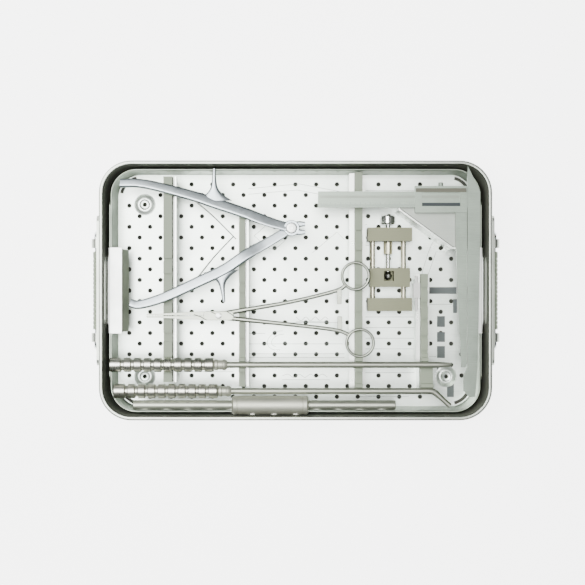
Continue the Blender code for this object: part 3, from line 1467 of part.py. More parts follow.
def build_grip_rod():
    rod = turned(
        "grip_rod",
        rod_profile(GRIP_ROD_RADIUS, GRIP_ROD_END - GRIP_ROD_START, GRIP_ROD_CHAMFER),
        "X",
        (GRIP_ROD_START, GRIP_ROD_Y, ROD_Z + GRIP_ROD_RISE),
        ROUND_STEPS,
    )
    dress(rod, SATIN_STEEL, "grip_rod_steel")
    sleeve = turned(
        "grip_rod_sleeve",
        sleeve_profile(GRIP_SLEEVE_RADIUS, GRIP_ROD_RADIUS + GAP, GRIP_SLEEVE_END - GRIP_SLEEVE_START,
                       GRIP_SLEEVE_CHAMFER),
        "X",
        (GRIP_SLEEVE_START, GRIP_ROD_Y, ROD_Z + GRIP_ROD_RISE),
        ROUND_STEPS,
    )
    dress(sleeve, SATIN_STEEL, "grip_sleeve_steel")
    return [rod, sleeve]


# ---------------------------------------------------------------- assembly


def body(name, origin, pieces, parent=None):
    """An empty on a moving body's joint that carries the body's pieces."""
    empty = bpy.data.objects.new(f"axis_{name}", None)
    PARTS.objects.link(empty)
    origin = Vector(origin)
    empty.location = origin
    if parent:
        empty.parent = parent
        empty.matrix_parent_inverse = Matrix.Translation(-parent_origin(parent))
    for piece in pieces:
        piece.parent = empty
        piece.matrix_parent_inverse = Matrix.Translation(-origin)
    empty["world_origin"] = list(origin)
    return empty


def parent_origin(empty):
    return Vector(empty["world_origin"])


def build_tray():
    pieces = build_tray_walls() + build_tray_floor() + build_tray_feet()
    for side, label in ((-1, "left"), (1, "right")):
        pieces += build_tray_plate(side, label) + build_tray_grip(side, label)
    return pieces + build_rails() + build_end_pad() + build_corner_bracket() + build_clip()


def build_all():
    build_case()
    for side, label in ((-1, "left"), (1, "right")):
        build_end_plate(side, label)
        body(f"carry_handle_{label}", handle_pivot(side), build_handle(side, label))
    tray = body("inner_tray", (0, 0, TRAY_FLOOR_BOTTOM), build_tray())

    fixed, moving = build_pliers()
    pliers = body("pliers", (*PLIERS_PIVOT, REST_Z), fixed, tray)
    body("pliers_upper", (*PLIERS_PIVOT, REST_Z), moving, pliers)

    fixed, moving = build_forceps()
    forceps = body("forceps", (*FORCEPS_PIVOT, REST_Z), fixed, tray)
    body("forceps_moving", (*FORCEPS_PIVOT, REST_Z), moving, forceps)

    beam, slider, lock = build_caliper()
    caliper = body("caliper", (JAW_LINE, BEAM_Y, CALIPER_Z), beam, tray)
    slide = body("caliper_slider", (JAW_LINE, BEAM_Y, CALIPER_Z), slider, caliper)
    screw_x = JAW_LINE - GAP - SLIDER_LENGTH / 2
    body("caliper_lock", (screw_x, BEAM_Y, CALIPER_Z + BEAM_THICKNESS / 2), lock, slide)

    frame, carriage, screw = build_clamp()
    clamp = body("clamp", (CLAMP_X, CLAMP_TOP_BAR[0], clamp_axis_z()), frame, tray)
    bar = body("clamp_carriage", (CLAMP_X, CLAMP_MOVING_BAR[0], clamp_axis_z()), carriage, clamp)
    body("clamp_screw", (CLAMP_X, CLAMP_TOP_BAR[1], clamp_axis_z()), screw, bar)

    body("straight_awl", (AWL_BUTT, STRAIGHT_AWL_Y, ROD_Z), build_straight_awl(), tray)
    body("hooked_awl", (HOOKED_AWL_BUTT, HOOKED_AWL_Y, ROD_Z), build_hooked_awl(), tray)
    body("grip_rod", (GRIP_ROD_START, GRIP_ROD_Y, ROD_Z), build_grip_rod(), tray)
    bpy.context.view_layer.update()


build_all()
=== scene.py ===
"""Visual layer of the instrument tray: detailed sheet metal, instruments and materials over the CAD frame."""

import math

import bpy
from mathutils import Matrix, Vector


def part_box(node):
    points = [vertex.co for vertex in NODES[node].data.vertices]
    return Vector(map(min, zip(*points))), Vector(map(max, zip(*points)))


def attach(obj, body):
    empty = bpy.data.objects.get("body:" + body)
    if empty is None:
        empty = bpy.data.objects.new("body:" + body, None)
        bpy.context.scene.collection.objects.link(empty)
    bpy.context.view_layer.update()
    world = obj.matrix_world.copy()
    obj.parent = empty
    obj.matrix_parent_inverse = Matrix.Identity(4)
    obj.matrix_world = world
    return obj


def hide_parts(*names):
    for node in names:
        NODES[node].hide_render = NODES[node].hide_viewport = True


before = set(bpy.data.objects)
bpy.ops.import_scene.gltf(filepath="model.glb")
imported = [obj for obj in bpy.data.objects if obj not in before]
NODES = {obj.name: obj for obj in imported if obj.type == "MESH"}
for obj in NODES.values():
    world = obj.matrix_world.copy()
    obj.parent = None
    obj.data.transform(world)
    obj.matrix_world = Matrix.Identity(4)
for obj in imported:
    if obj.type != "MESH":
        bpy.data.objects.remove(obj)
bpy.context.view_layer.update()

MM = 0.001

# ---------------------------------------------------------------- materials


def mixed(colour, factor):
    return tuple(min(1.0, channel * factor) for channel in colour)


def material(name, colour, metallic, roughness, **detail):
    """A procedural finish: blotchy tint, fine stretched grain in roughness and bump."""
    grain = detail.get("grain", (1, 1, 1))
    grain_size = detail.get("grain_size", 0.5 * MM)
    blotch_size = detail.get("blotch_size", 35 * MM)
    tint = detail.get("tint", 0.08)
    spread = detail.get("spread", 0.08)
    depth = detail.get("depth", 0.03 * MM)
    finish = bpy.data.materials.new(name)
    finish.use_nodes = True
    tree = finish.node_tree
    new, link = tree.nodes.new, tree.links.new
    shader = tree.nodes["Principled BSDF"]
    shader.inputs["Metallic"].default_value = metallic
    coords = new("ShaderNodeTexCoord")
    stretch = new("ShaderNodeMapping")
    stretch.inputs["Scale"].default_value = grain
    link(coords.outputs["Object"], stretch.inputs["Vector"])
    fine = new("ShaderNodeTexNoise")
    fine.inputs["Scale"].default_value = 1 / grain_size
    fine.inputs["Detail"].default_value = 4
    link(stretch.outputs["Vector"], fine.inputs["Vector"])
    blotch = new("ShaderNodeTexNoise")
    blotch.inputs["Scale"].default_value = 1 / blotch_size
    blotch.inputs["Detail"].default_value = 6
    blotch.inputs["Roughness"].default_value = 0.6
    link(coords.outputs["Object"], blotch.inputs["Vector"])
    blend = new("ShaderNodeMath")
    blend.operation = "MULTIPLY_ADD"
    blend.inputs[1].default_value = 0.35
    link(fine.outputs["Fac"], blend.inputs[0])
    scaled = new("ShaderNodeMath")
    scaled.operation = "MULTIPLY"
    scaled.inputs[1].default_value = 0.65
    link(blotch.outputs["Fac"], scaled.inputs[0])
    link(scaled.outputs[0], blend.inputs[2])
    ramp = new("ShaderNodeValToRGB")
    ramp.color_ramp.elements[0].position = 0.3
    ramp.color_ramp.elements[0].color = (*mixed(colour, 1 - tint), 1)
    ramp.color_ramp.elements[1].position = 0.7
    ramp.color_ramp.elements[1].color = (*mixed(colour, 1 + tint), 1)
    link(blend.outputs[0], ramp.inputs["Fac"])
    link(ramp.outputs["Color"], shader.inputs["Base Color"])
    rough = new("ShaderNodeMapRange")
    rough.inputs["From Min"].default_value = 0.3
    rough.inputs["From Max"].default_value = 0.7
    rough.inputs["To Min"].default_value = max(0.02, roughness - spread)
    rough.inputs["To Max"].default_value = min(1.0, roughness + spread)
    link(blend.outputs[0], rough.inputs["Value"])
    link(rough.outputs["Result"], shader.inputs["Roughness"])
    bump = new("ShaderNodeBump")
    bump.inputs["Strength"].default_value = detail.get("strength", 0.35)
    bump.inputs["Distance"].default_value = depth
    link(fine.outputs["Fac"], bump.inputs["Height"])
    link(bump.outputs["Normal"], shader.inputs["Normal"])
    return finish


BRUSHED_X = (0.04, 1, 1)
BRUSHED_Y = (1, 0.04, 1)
TURNED_X = (1, 0.05, 0.05)

FLOOR_STEEL = material(
    "floor_brushed_steel", (0.80, 0.86, 0.81), 0.85, 0.34, grain=BRUSHED_X, tint=0.16, depth=0.03 * MM
)
# Painted shade: this dark steel inside the case pan stands for the shade in the gap round the tray.
PAINTED_SHADE_PAN_STEEL = material("painted_shade_pan_steel", (0.16, 0.17, 0.14), 0.5, 0.7, grain=BRUSHED_X)
WALL_STEEL = material("wall_satin_steel", (0.46, 0.52, 0.44), 0.9, 0.36, grain=BRUSHED_X)
# Painted highlight: near-white steel for the grip's flat top and the pin and screw heads.
PAINTED_HIGHLIGHT_STEEL = material("painted_highlight_satin_steel", (0.95, 0.97, 0.95), 0.92, 0.42, grain=BRUSHED_Y, tint=0.03)
# Painted shade: the grip's sloping leaf, the same sheet darkened.
LEAF_SHADE_STEEL = material("grip_leaf_painted_shade_steel", (0.30, 0.33, 0.25), 0.7, 0.45, grain=BRUSHED_Y)
CASE_STEEL = material("case_satin_steel", (0.46, 0.49, 0.44), 0.95, 0.34, grain=BRUSHED_X)
HANDLE_STEEL = material("handle_wire_steel", (0.62, 0.65, 0.64), 0.95, 0.26, grain=BRUSHED_Y)
RAIL_STEEL = material("rail_sheet_steel", (0.80, 0.83, 0.79), 0.85, 0.32, grain=BRUSHED_Y)
PLIERS_STEEL = material(
    "pliers_blued_steel", (0.46, 0.51, 0.54), 1.0, 0.34, grain_size=3 * MM, tint=0.05, depth=0.003 * MM
)
SPRING_STEEL = material("leaf_spring_steel", (0.14, 0.15, 0.14), 0.8, 0.45)
FORCEPS_STEEL = material(
    "forceps_satin_steel", (0.33, 0.35, 0.30), 1.0, 0.33, grain_size=2 * MM, tint=0.05, depth=0.004 * MM
)
PRINT = material("printed_grey", (0.12, 0.14, 0.14), 0.2, 0.5, grain_size=0.6 * MM)
ROD_STEEL = material("awl_turned_steel", (0.46, 0.48, 0.41), 0.9, 0.42, grain=TURNED_X, tint=0.1)
HANDLE_TURNED = material(
    "handle_turned_steel", (0.62, 0.62, 0.55), 1.0, 0.3, grain=TURNED_X, tint=0.1
)
KNURL_STEEL = material("grip_brushed_steel", (0.60, 0.61, 0.52), 0.8, 0.5, grain=BRUSHED_X)
CALIPER_STEEL = material("caliper_matt_steel", (0.27, 0.315, 0.27), 0.85, 0.4, grain=BRUSHED_X, tint=0.2)
CALIPER_SHADE = material("caliper_groove", (0.26, 0.29, 0.25), 0.8, 0.45, grain=BRUSHED_X)
# Painted shade: the dark under the slider's lip and in the window's slot.
CALIPER_CHANNEL_SHADE = material("caliper_channel_painted_shade", (0.13, 0.13, 0.10), 0.3, 0.55, grain=BRUSHED_X)
CALIPER_SLOT_SHADE = material("caliper_slot_painted_shade", (0.035, 0.045, 0.05), 0.2, 0.55, grain=BRUSHED_X)
CLAMP_ALLOY = material("clamp_anodised_alloy", (0.17, 0.175, 0.115), 0.7, 0.42, grain=BRUSHED_X, tint=0.12)
POST_BRASS = material(
    "clamp_post_plated", (0.78, 0.75, 0.58), 1.0, 0.3, tint=0.02, spread=0.03, depth=0.002 * MM
)
PAD_GREY = material("pale_grey_pad", (0.50, 0.54, 0.49), 0.4, 0.5, grain=BRUSHED_X, tint=0.14)
CHROME = material("polished_chrome", (0.82, 0.84, 0.82), 1.0, 0.24, tint=0.02, spread=0.03, depth=0.002 * MM)
SILICONE = material(
    "grey_green_silicone", (0.31, 0.36, 0.27), 0.0, 0.55, grain_size=0.6 * MM, tint=0.12, depth=0.06 * MM
)
WHITE_PLASTIC = material(
    "white_moulded_plastic", (0.86, 0.86, 0.84), 0.0, 0.38, grain_size=0.7 * MM, tint=0.03
)
ETCH = material("etched_line", (0.26, 0.28, 0.26), 0.5, 0.6, grain_size=0.4 * MM)
INK = material("printed_ink", (0.05, 0.07, 0.10), 0.0, 0.55, grain_size=0.4 * MM)
# Painted shade in the floor's corner slots; also the dark seams of the forceps' box lock.
SHADE_AND_SEAM_DARK = material("painted_shade_and_seam_dark", (0.06, 0.06, 0.05), 0.3, 0.6)
TABLE = material(
    "white_table", (0.93, 0.93, 0.93), 0.0, 0.7, tint=0.01, grain_size=4 * MM, depth=0.01 * MM
)

# ---------------------------------------------------------------- shapes


def piece(name, mesh, finish, body, replaces=(), sharp=35):
    """Link a mesh as a named piece that rides on a body."""
    if isinstance(mesh, tuple):
        data = bpy.data.meshes.new(name)
        data.from_pydata(mesh[0], [], mesh[1])
        mesh = data
    mesh.name = name
    if finish is not None:
        mesh.materials.clear()
        mesh.materials.append(finish)
    mesh.validate()
    for polygon in mesh.polygons:
        polygon.use_smooth = True
    mesh.set_sharp_from_angle(angle=math.radians(sharp))
    obj = bpy.data.objects.new(name, mesh)
    bpy.context.scene.collection.objects.link(obj)
    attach(obj, body)
    if replaces:
        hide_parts(*replaces)
    return obj


def merged(*parts):
    """Several (points, faces) shapes as one."""
    points, faces = [], []
    for part_points, part_faces in parts:
        base = len(points)
        points += part_points
        faces += [tuple(base + i for i in face) for face in part_faces]
    return points, faces


def ring_faces(rings, count, closed=False, caps=True):
    """Quads between successive rings of count points, and end caps if the run is open."""
    faces = []
    last = rings if closed else rings - 1
    for i in range(last):
        low, high = i * count, ((i + 1) % rings) * count
        for j in range(count):
            k = (j + 1) % count
            faces.append((low + j, low + k, high + k, high + j))
    if caps and not closed:
        faces.append(tuple(reversed(range(count))))
        faces.append(tuple((rings - 1) * count + j for j in range(count)))
    return faces


def rounded_rectangle(half_u, half_v, radius, steps=12, centre=(0, 0)):
    radius = max(radius, 0.01 * MM)
    points = []
    for quarter, (su, sv) in enumerate(((1, 1), (-1, 1), (-1, -1), (1, -1))):
        for i in range(steps + 1):
            angle = math.pi / 2 * (quarter + i / steps)
            u = su * (half_u - radius) + radius * math.cos(angle)
            v = sv * (half_v - radius) + radius * math.sin(angle)
            points.append((centre[0] + u, centre[1] + v))
    return points


def circle(centre, radius, sides=20, turn=0.0):
    return [
        (
            centre[0] + radius * math.cos(turn + 2 * math.pi * i / sides),
            centre[1] + radius * math.sin(turn + 2 * math.pi * i / sides),
        )
        for i in range(sides)
    ]


def arc(centre, radius, start, end, steps):
    return [
        (
            centre[0] + radius * math.cos(start + (end - start) * i / steps),
            centre[1] + radius * math.sin(start + (end - start) * i / steps),
        )
        for i in range(steps + 1)
    ]


def pan(profile, half_x, half_y, corner, steps=12, closed=True):
    """A profile of (inset, height) carried round a rounded rectangle."""
    points = []
    for inset, height in profile:
        outline = rounded_rectangle(half_x - inset, half_y - inset, corner - inset, steps)
        points += [(x, y, height) for x, y in outline]
    count = 4 * (steps + 1)
    return points, ring_faces(len(profile), count, closed, caps=not closed)


PLANES = {
    "XY": Matrix.Identity(4),
    "YZ": Matrix(((0, 0, 1, 0), (1, 0, 0, 0), (0, 1, 0, 0), (0, 0, 0, 1))),
    "XZ": Matrix(((1, 0, 0, 0), (0, 0, -1, 0), (0, 1, 0, 0), (0, 0, 0, 1))),
}


def plate(loops, low, high, plane="XY", bevel=0.0):
    """A flat outline with holes, solid from low to high along the plane's normal, as a mesh."""
    curve = bpy.data.curves.new("plate", "CURVE")
    curve.dimensions = "2D"
    curve.fill_mode = "BOTH"
    curve.extrude = (high - low) / 2 - bevel
    curve.bevel_depth = bevel
    curve.bevel_resolution = 2
    curve.offset = -bevel
    for loop in loops:
        spline = curve.splines.new("POLY")
        spline.points.add(len(loop) - 1)
        for point, (u, v) in zip(spline.points, loop):
            point.co = (u, v, 0, 1)
        spline.use_cyclic_u = True
    obj = bpy.data.objects.new("plate", curve)
    bpy.context.scene.collection.objects.link(obj)
    bpy.context.view_layer.update()
    mesh = bpy.data.meshes.new_from_object(obj.evaluated_get(bpy.context.evaluated_depsgraph_get()))
    middle = (low + high) / 2
    if plane == "XZ":
        middle = -middle
    mesh.transform(PLANES[plane] @ Matrix.Translation((0, 0, middle)))
    bpy.data.objects.remove(obj, do_unlink=True)
    bpy.data.curves.remove(curve)
    shape = (
        [tuple(v.co) for v in mesh.vertices],
        [tuple(p.vertices) for p in mesh.polygons],
    )
    bpy.data.meshes.remove(mesh)
    return shape


AXES = {
    "X": Matrix(((0, 0, 1), (0, 1, 0), (-1, 0, 0))),
    "Y": Matrix(((1, 0, 0), (0, 0, 1), (0, -1, 0))),
    "Z": Matrix.Identity(3),
}


def turned(profile, axis, start, steps=48, closed=False):
    """A profile of (radius, distance along the axis) turned about the axis through start."""
    spin = AXES[axis]
    points = []
    for radius, distance in profile:
        radius = max(radius, 0.001 * MM)
        for u, v in circle((0, 0), radius, steps):
            points.append(tuple(spin @ Vector((u, v, distance)) + Vector(start)))
    return points, ring_faces(len(profile), steps, closed)


def smooth_line(points, per_span=6):
    """A Catmull-Rom line through points of any dimension."""
    ends = [[2 * a - b for a, b in zip(points[0], points[1])]]
    ends.append([2 * a - b for a, b in zip(points[-1], points[-2])])
    run = [ends[0], *points, ends[1]]
    line = []
    for i in range(1, len(run) - 2):
        p0, p1, p2, p3 = run[i - 1], run[i], run[i + 1], run[i + 2]
        for step in range(per_span):
            t = step / per_span
            line.append(
                tuple(
                    0.5 * (2 * b + (c - a) * t + (2 * a - 5 * b + 4 * c - d) * t**2
                           + (3 * b - a - 3 * c + d) * t**3)
                    for a, b, c, d in zip(p0, p1, p2, p3)
                )
            )
    line.append(tuple(points[-1]))
    return line


def swept(line, width, height, power=2.6, sides=16, closed=False, tilt=0.0):
    """A bar of rounded section along a line of (x, y, z); width and height may vary along it."""
    count = len(line)
    points = []
    for i, place in enumerate(line):
        before = line[i - 1] if i or closed else place
        after = line[(i + 1) % count] if i < count - 1 or closed else place
        way = Vector(after) - Vector(before)
        way.normalize()
        side = Vector((0, 0, 1)).cross(way)
        if side.length < 0.01:
            side = Vector((0, 1, 0))
        side.normalize()
        up = way.cross(side)
        side, up = side * math.cos(tilt) + up * math.sin(tilt), up * math.cos(tilt) - side * math.sin(tilt)
        t = i / max(1, count - 1)
        half_w = (width(t) if callable(width) else width) / 2
        half_h = (height(t) if callable(height) else height) / 2
        for j in range(sides):
            angle = 2 * math.pi * j / sides
            c, s = math.cos(angle), math.sin(angle)
            u = math.copysign(abs(c) ** (2 / power), c) * half_w
            v = math.copysign(abs(s) ** (2 / power), s) * half_h
            points.append(tuple(Vector(place) + side * u + up * v))
    return points, ring_faces(count, sides, closed)


def block(low, high, edge=0.4 * MM, plane="XY"):
    """A box with rounded vertical corners and softened edges."""
    order = {"XY": (0, 1, 2), "YZ": (1, 2, 0), "XZ": (0, 2, 1)}[plane]
    u, v, w = order
    centre = ((low[u] + high[u]) / 2, (low[v] + high[v]) / 2)
    half = ((high[u] - low[u]) / 2, (high[v] - low[v]) / 2)
    loop = rounded_rectangle(*half, edge * 2, 4, centre)
    return plate([loop], low[w], high[w], plane, edge)


def refine(node, finish, bevel=0.25 * MM):
    """A CAD node that stays: a detailed finish and softened edges."""
    obj = NODES[node]
    for slot in obj.material_slots:
        slot.material = finish
    if bevel:
        soften = obj.modifiers.new("softened_edges", "BEVEL")
        soften.width = bevel
        soften.segments = 2
        soften.limit_method = "ANGLE"
        soften.angle_limit = math.radians(40)
        soften.harden_normals = False


def carve(shape, *cutters):
    """The shape with the cutters taken away."""
    objs = []
    for part in (shape, merged(*cutters)):
        mesh = bpy.data.meshes.new("carve")
        mesh.from_pydata(part[0], [], part[1])
        mesh.validate()
        obj = bpy.data.objects.new("carve", mesh)
        bpy.context.scene.collection.objects.link(obj)
        objs.append(obj)
    cutting = objs[0].modifiers.new("cut", "BOOLEAN")
    cutting.operation = "DIFFERENCE"
    cutting.solver = "EXACT"
    cutting.object = objs[1]
    bpy.context.view_layer.update()
    carved = objs[0].evaluated_get(bpy.context.evaluated_depsgraph_get())
    mesh = bpy.data.meshes.new_from_object(carved)
    result = (
        [tuple(v.co) for v in mesh.vertices],
        [tuple(p.vertices) for p in mesh.polygons],
    )
    for obj in objs:
        bpy.data.objects.remove(obj, do_unlink=True)
    return result


def mm(*values):
    return tuple(value * MM for value in values)


def top_of(node):
    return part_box(node)[1][2]


def low_of(node):
    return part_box(node)[0][2]


def half_size(node):
    low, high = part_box(node)
    return (high[0] - low[0]) / 2, (high[1] - low[1]) / 2


# ---------------------------------------------------------------- outer case

CASE_TOP = top_of("case_shell")
CASE_X, CASE_Y = half_size("case_shell")
CASE_CORNER = 33 * MM
WINDOW_Z = CASE_TOP - 21 * MM
VENT_Z = CASE_TOP - 12 * MM
VENT_PITCH = 22 * MM
VENT_RADIUS = 2.5 * MM
WINDOW_HALF = (34.5 * MM, 9 * MM)
WINDOW_CORNER = 7 * MM
CUT_OVER = 10 * MM  # of cutters beyond the walls that they pierce
WIRE_RADIUS = 2.5 * MM
WIRE_BEND = 6 * MM
WIRE_INSET = 15.6 * MM  # of the wire's ends from the bail's sides
PIVOT_PROUD = 5.5 * MM  # of the bails' pivots beyond the case shell's ends
GRIP_RIBS = 16
GRIP_MARGIN = 4 * MM
GRIP_CHAMFER = 0.8 * MM
RIB_DEPTH = 0.55 * MM


def case_pan():
    """The pressed pan with its folded lip, hand windows and vents."""
    profile = [mm(9.8 - 6 * math.sin(a), 6 - 6 * math.cos(a)) for a in (0, 0.5, 1.0, math.pi / 2)]
    rim = [(2.6, -1.0), (1.1, -1.0), (1.0, -4.9), (0.5, -5.0), (0.0, -4.8), (0.0, -1.2), (0.15, -0.55),
           (0.55, -0.15), (1.2, 0.0), (2.6, 0.0), (3.2, -0.12), (3.5, -0.45), (3.62, -1.1)]
    profile += [(inset * MM, CASE_TOP + drop * MM) for inset, drop in rim]
    profile += [mm(9.8 - 5 * math.sin(a), 6 - 5 * math.cos(a)) for a in (math.pi / 2, 1.0, 0.5, 0)]
    shell = pan(profile, CASE_X, CASE_Y, CASE_CORNER, 14, closed=False)
    window = rounded_rectangle(*WINDOW_HALF, WINDOW_CORNER, 6, (0, WINDOW_Z))
    cutters = [plate([window], -CASE_X - CUT_OVER, CASE_X + CUT_OVER, "YZ")]
    reach = 2 * (CASE_Y + CUT_OVER)
    for i in range(-7, 8):
        start = (i * VENT_PITCH, -reach / 2, VENT_Z)
        cutters.append(
            turned([(0, 0), (VENT_RADIUS, 0), (VENT_RADIUS, reach), (0, reach)], "Y", start, 18)
        )
    pan_shell = piece(
        "case_pan", carve(shell, *cutters), CASE_STEEL, "case", ["case_shell"]
    )
    # The pan's inner walls below the lip and its floor take the dark steel: painted shade.
    pan_shell.data.materials.append(PAINTED_SHADE_PAN_STEEL)
    for polygon in pan_shell.data.polygons:
        inward = polygon.center.x * polygon.normal.x + polygon.center.y * polygon.normal.y < 0
        if polygon.center.z < CASE_TOP - 4 * MM and (inward or polygon.normal.z > 0.5):
            polygon.material_index = 1


def case_handle(side, label):
    """The wire bail and its ribbed grip, over the CAD ones."""
    _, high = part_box(f"carry_handle_{label}")
    grip_low, grip_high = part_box(f"carry_grip_{label}")
    radius = WIRE_RADIUS
    pivot_x = side * (CASE_X + PIVOT_PROUD)
    pivot_z = WINDOW_Z
    grip_x = (grip_low[0] + grip_high[0]) / 2
    grip_z = (grip_low[2] + grip_high[2]) / 2
    half = high[1] - radius
    bend = WIRE_BEND
    path = [(pivot_x, half - WIRE_INSET, pivot_z)]
    path += [
        (pivot_x, half - bend + y, pivot_z - bend + z)
        for y, z in arc((0, 0), bend, math.pi / 2, 0, 8)
    ]
    path += [
        (grip_x, half - bend + y, grip_z + bend + z)
        for y, z in arc((0, 0), bend, 0, -math.pi / 2, 8)
    ]
    path += [(x, -y, z) for x, y, z in path[::-1]]
    name = f"carry_handle_{label}"
    wire = swept(path, 2 * radius, 2 * radius, 2, 16)
    piece(f"bail_wire_{label}", wire, HANDLE_STEEL, name, [name])
    start, end = grip_low[1], grip_high[1]
    outer = (grip_high[2] - grip_low[2]) / 2
    length = end - start
    profile = [(radius, 0), (outer - GRIP_CHAMFER, 0), (outer, GRIP_CHAMFER)]
    pitch = (length - 2 * GRIP_MARGIN) / GRIP_RIBS
    for i in range(GRIP_RIBS):
        y = GRIP_MARGIN + i * pitch
        profile += [(outer, y), (outer - RIB_DEPTH, y + 0.6 * MM), (outer - RIB_DEPTH, y + 1.4 * MM),
                    (outer, y + 2.0 * MM)]
    profile += [(outer, length - GRIP_CHAMFER), (outer - GRIP_CHAMFER, length), (radius, length)]
    grip = turned(profile, "Y", (grip_x, start, grip_z), 28, closed=True)
    piece(f"bail_grip_{label}", grip, SILICONE, name, [f"carry_grip_{label}"])


case_pan()
for side, label in ((-1, "left"), (1, "right")):
    case_handle(side, label)
    refine(f"case_end_plate_{label}", CASE_STEEL, 0.4 * MM)

# ---------------------------------------------------------------- lift-out tray

TRAY_TOP = top_of("tray_walls")
TRAY_X, TRAY_Y = half_size("tray_walls")
TRAY_CORNER = 27 * MM
FLOOR_TOP = top_of("tray_floor")
FLOOR_X, FLOOR_Y = half_size("tray_floor")
FLOOR_CORNER = 23.9 * MM
HOLE_RADIUS = 2.45 * MM
HOLE_PITCH = (22 * MM, 22.5 * MM)
HOLE_MARGIN = 6.5 * MM  # from a hole's centre to the floor's edge
HOLE_EDGE = 1.5 * MM  # between a hole's edge and the next two radii
BOSS_KEEP = 8.5 * MM  # from a boss's centre; its thin lip reaches further, to 11.5 mm
CORNER_KEEP = 20.0 * MM  # from a corner's centre; the slot starts at 19.4 mm
RAIL_KEEP = 5 * MM  # from a rail's middle line to a hole's centre
BOSS_BORE = 2.4 * MM
SLOT_OUTER = 23.0 * MM
SLOT_WIDTH = 3.6 * MM
WALL_HOLE_RADIUS = 1.9 * MM
GRIP_SHEET = 0.9 * MM
GRIP_FLAT = 13.4 * MM
FEET = [
    tuple((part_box(f"tray_foot_{n}")[0][k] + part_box(f"tray_foot_{n}")[1][k]) / 2 for k in (0, 1))
    for n in (1, 2, 3, 4)
]
RAILS = [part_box(f"rail_bracket_{n}") for n in (1, 2, 3, 4)]


def corner_slot(su, sv):
    """A curved slot along one rounded corner of the floor."""
    centre = (su * (FLOOR_X - FLOOR_CORNER), sv * (FLOOR_Y - FLOOR_CORNER))
    middle = math.atan2(sv, su)
    sweep = math.radians(64)
    outside = arc(centre, SLOT_OUTER, middle - sweep / 2, middle + sweep / 2, 12)
    inside = arc(centre, SLOT_OUTER - SLOT_WIDTH, middle + sweep / 2, middle - sweep / 2, 12)
    return outside + inside


CORNER_SLOTS = [corner_slot(su, sv) for su in (-1, 1) for sv in (-1, 1)]


def tray_wall():
    """The drawn wall with its rolled rim, two rows of holes and inward flange."""
    flange = low_of("tray_walls")
    top = TRAY_TOP
    profile = [(0, top - 4.5 * MM), (0, top - 1.1 * MM), (0.18 * MM, top - 0.5 * MM),
               (0.5 * MM, top - 0.15 * MM), (1.0 * MM, top), (1.5 * MM, top - 0.1 * MM),
               (1.85 * MM, top - 0.4 * MM), (2.0 * MM, top - 1.0 * MM), (2.8 * MM, flange + 2.4 * MM),
               (3.2 * MM, flange + 1.3 * MM), (4.2 * MM, flange + 0.9 * MM),
               (7.3 * MM, flange + 0.9 * MM), (7.3 * MM, flange), (3.0 * MM, flange),
               (2.1 * MM, flange + 0.6 * MM), (1.1 * MM, top - 1.6 * MM), (0.9 * MM, top - 4.5 * MM)]
    walls = pan(profile, TRAY_X, TRAY_Y, TRAY_CORNER, 14)
    cutters = []
    reach = 2 * (TRAY_Y + CUT_OVER)
    for row, (z, shift) in enumerate(((TRAY_TOP - 10.5 * MM, 0), (TRAY_TOP - 22 * MM, 11 * MM))):
        for i in range(-7, 8 - row):
            start = (i * HOLE_PITCH[0] + shift, -reach / 2, z)
            profile = [(0, 0), (WALL_HOLE_RADIUS, 0), (WALL_HOLE_RADIUS, reach), (0, reach)]
            cutters.append(turned(profile, "Y", start, 16))
    for slot in CORNER_SLOTS:
        cutters.append(plate([slot], 0, flange + 3 * MM))
    piece("tray_wall", carve(walls, *cutters), WALL_STEEL, "inner_tray", ["tray_walls"])


def hole_is_free(x, y):
    """Whether a hole here is clear of the bosses' raised middles, corner slots and rails' webs."""
    reach = HOLE_RADIUS + HOLE_EDGE
    for fx, fy in FEET:
        if math.hypot(x - fx, y - fy) < BOSS_KEEP + reach:
            return False
    over_x = abs(x) - (FLOOR_X - FLOOR_CORNER)
    over_y = abs(y) - (FLOOR_Y - FLOOR_CORNER)
    if over_x > 0 and over_y > 0 and math.hypot(over_x, over_y) > CORNER_KEEP - reach:
        return False
    for low, high in RAILS:
        web = (high[0] + low[0]) / 2
        if low[0] - MM < x < high[0] + MM and low[1] < y < high[1] and abs(x - web) < RAIL_KEEP:
            return False
    return True


def tray_floor():
    """The perforated sheet: staggered round holes, corner slots and domed bosses over the feet."""
    holes = []
    for shift in (0, 0.5):
        for i in range(-9, 10):
            for j in range(-6, 7):
                x, y = (i + shift) * HOLE_PITCH[0], (j + shift) * HOLE_PITCH[1]
                if abs(x) > FLOOR_X - HOLE_MARGIN or abs(y) > FLOOR_Y - HOLE_MARGIN:
                    continue
                if hole_is_free(x, y):
                    holes.append(circle((x, y), HOLE_RADIUS, 20))
    holes += [circle(place, BOSS_BORE, 20) for place in FEET]
    outline = rounded_rectangle(FLOOR_X + 0.25 * MM, FLOOR_Y + 0.25 * MM, FLOOR_CORNER, 14)
    sheet = plate([outline, *CORNER_SLOTS, *holes], low_of("tray_floor"), FLOOR_TOP)
    piece("floor_sheet", sheet, FLOOR_STEEL, "inner_tray", ["tray_floor"])
    # Painted shade: thin dark sheets in the corner slots stand for the dark case below.
    base = low_of("tray_floor")
    slot_shades = [plate([slot], base + 0.05 * MM, base + 0.15 * MM) for slot in CORNER_SLOTS]
    piece("floor_slot_shades", merged(*slot_shades), SHADE_AND_SEAM_DARK, "inner_tray")
    dome = [(11.5, -0.1), (11.4, 0.04), (10.2, 0.25), (9.0, 0.7), (7.8, 1.2), (6.8, 1.45), (5.8, 1.5),
            (5.2, 1.35), (4.8, 0.95), (4.2, 0.75), (2.5, 0.7), (2.4, -0.1)]
    for number, (x, y) in enumerate(FEET, 1):
        boss = turned([(r * MM, d * MM) for r, d in dome], "Z", (x, y, FLOOR_TOP), 40, closed=True)
        piece(f"floor_boss_{number}", boss, FLOOR_STEEL, "inner_tray")


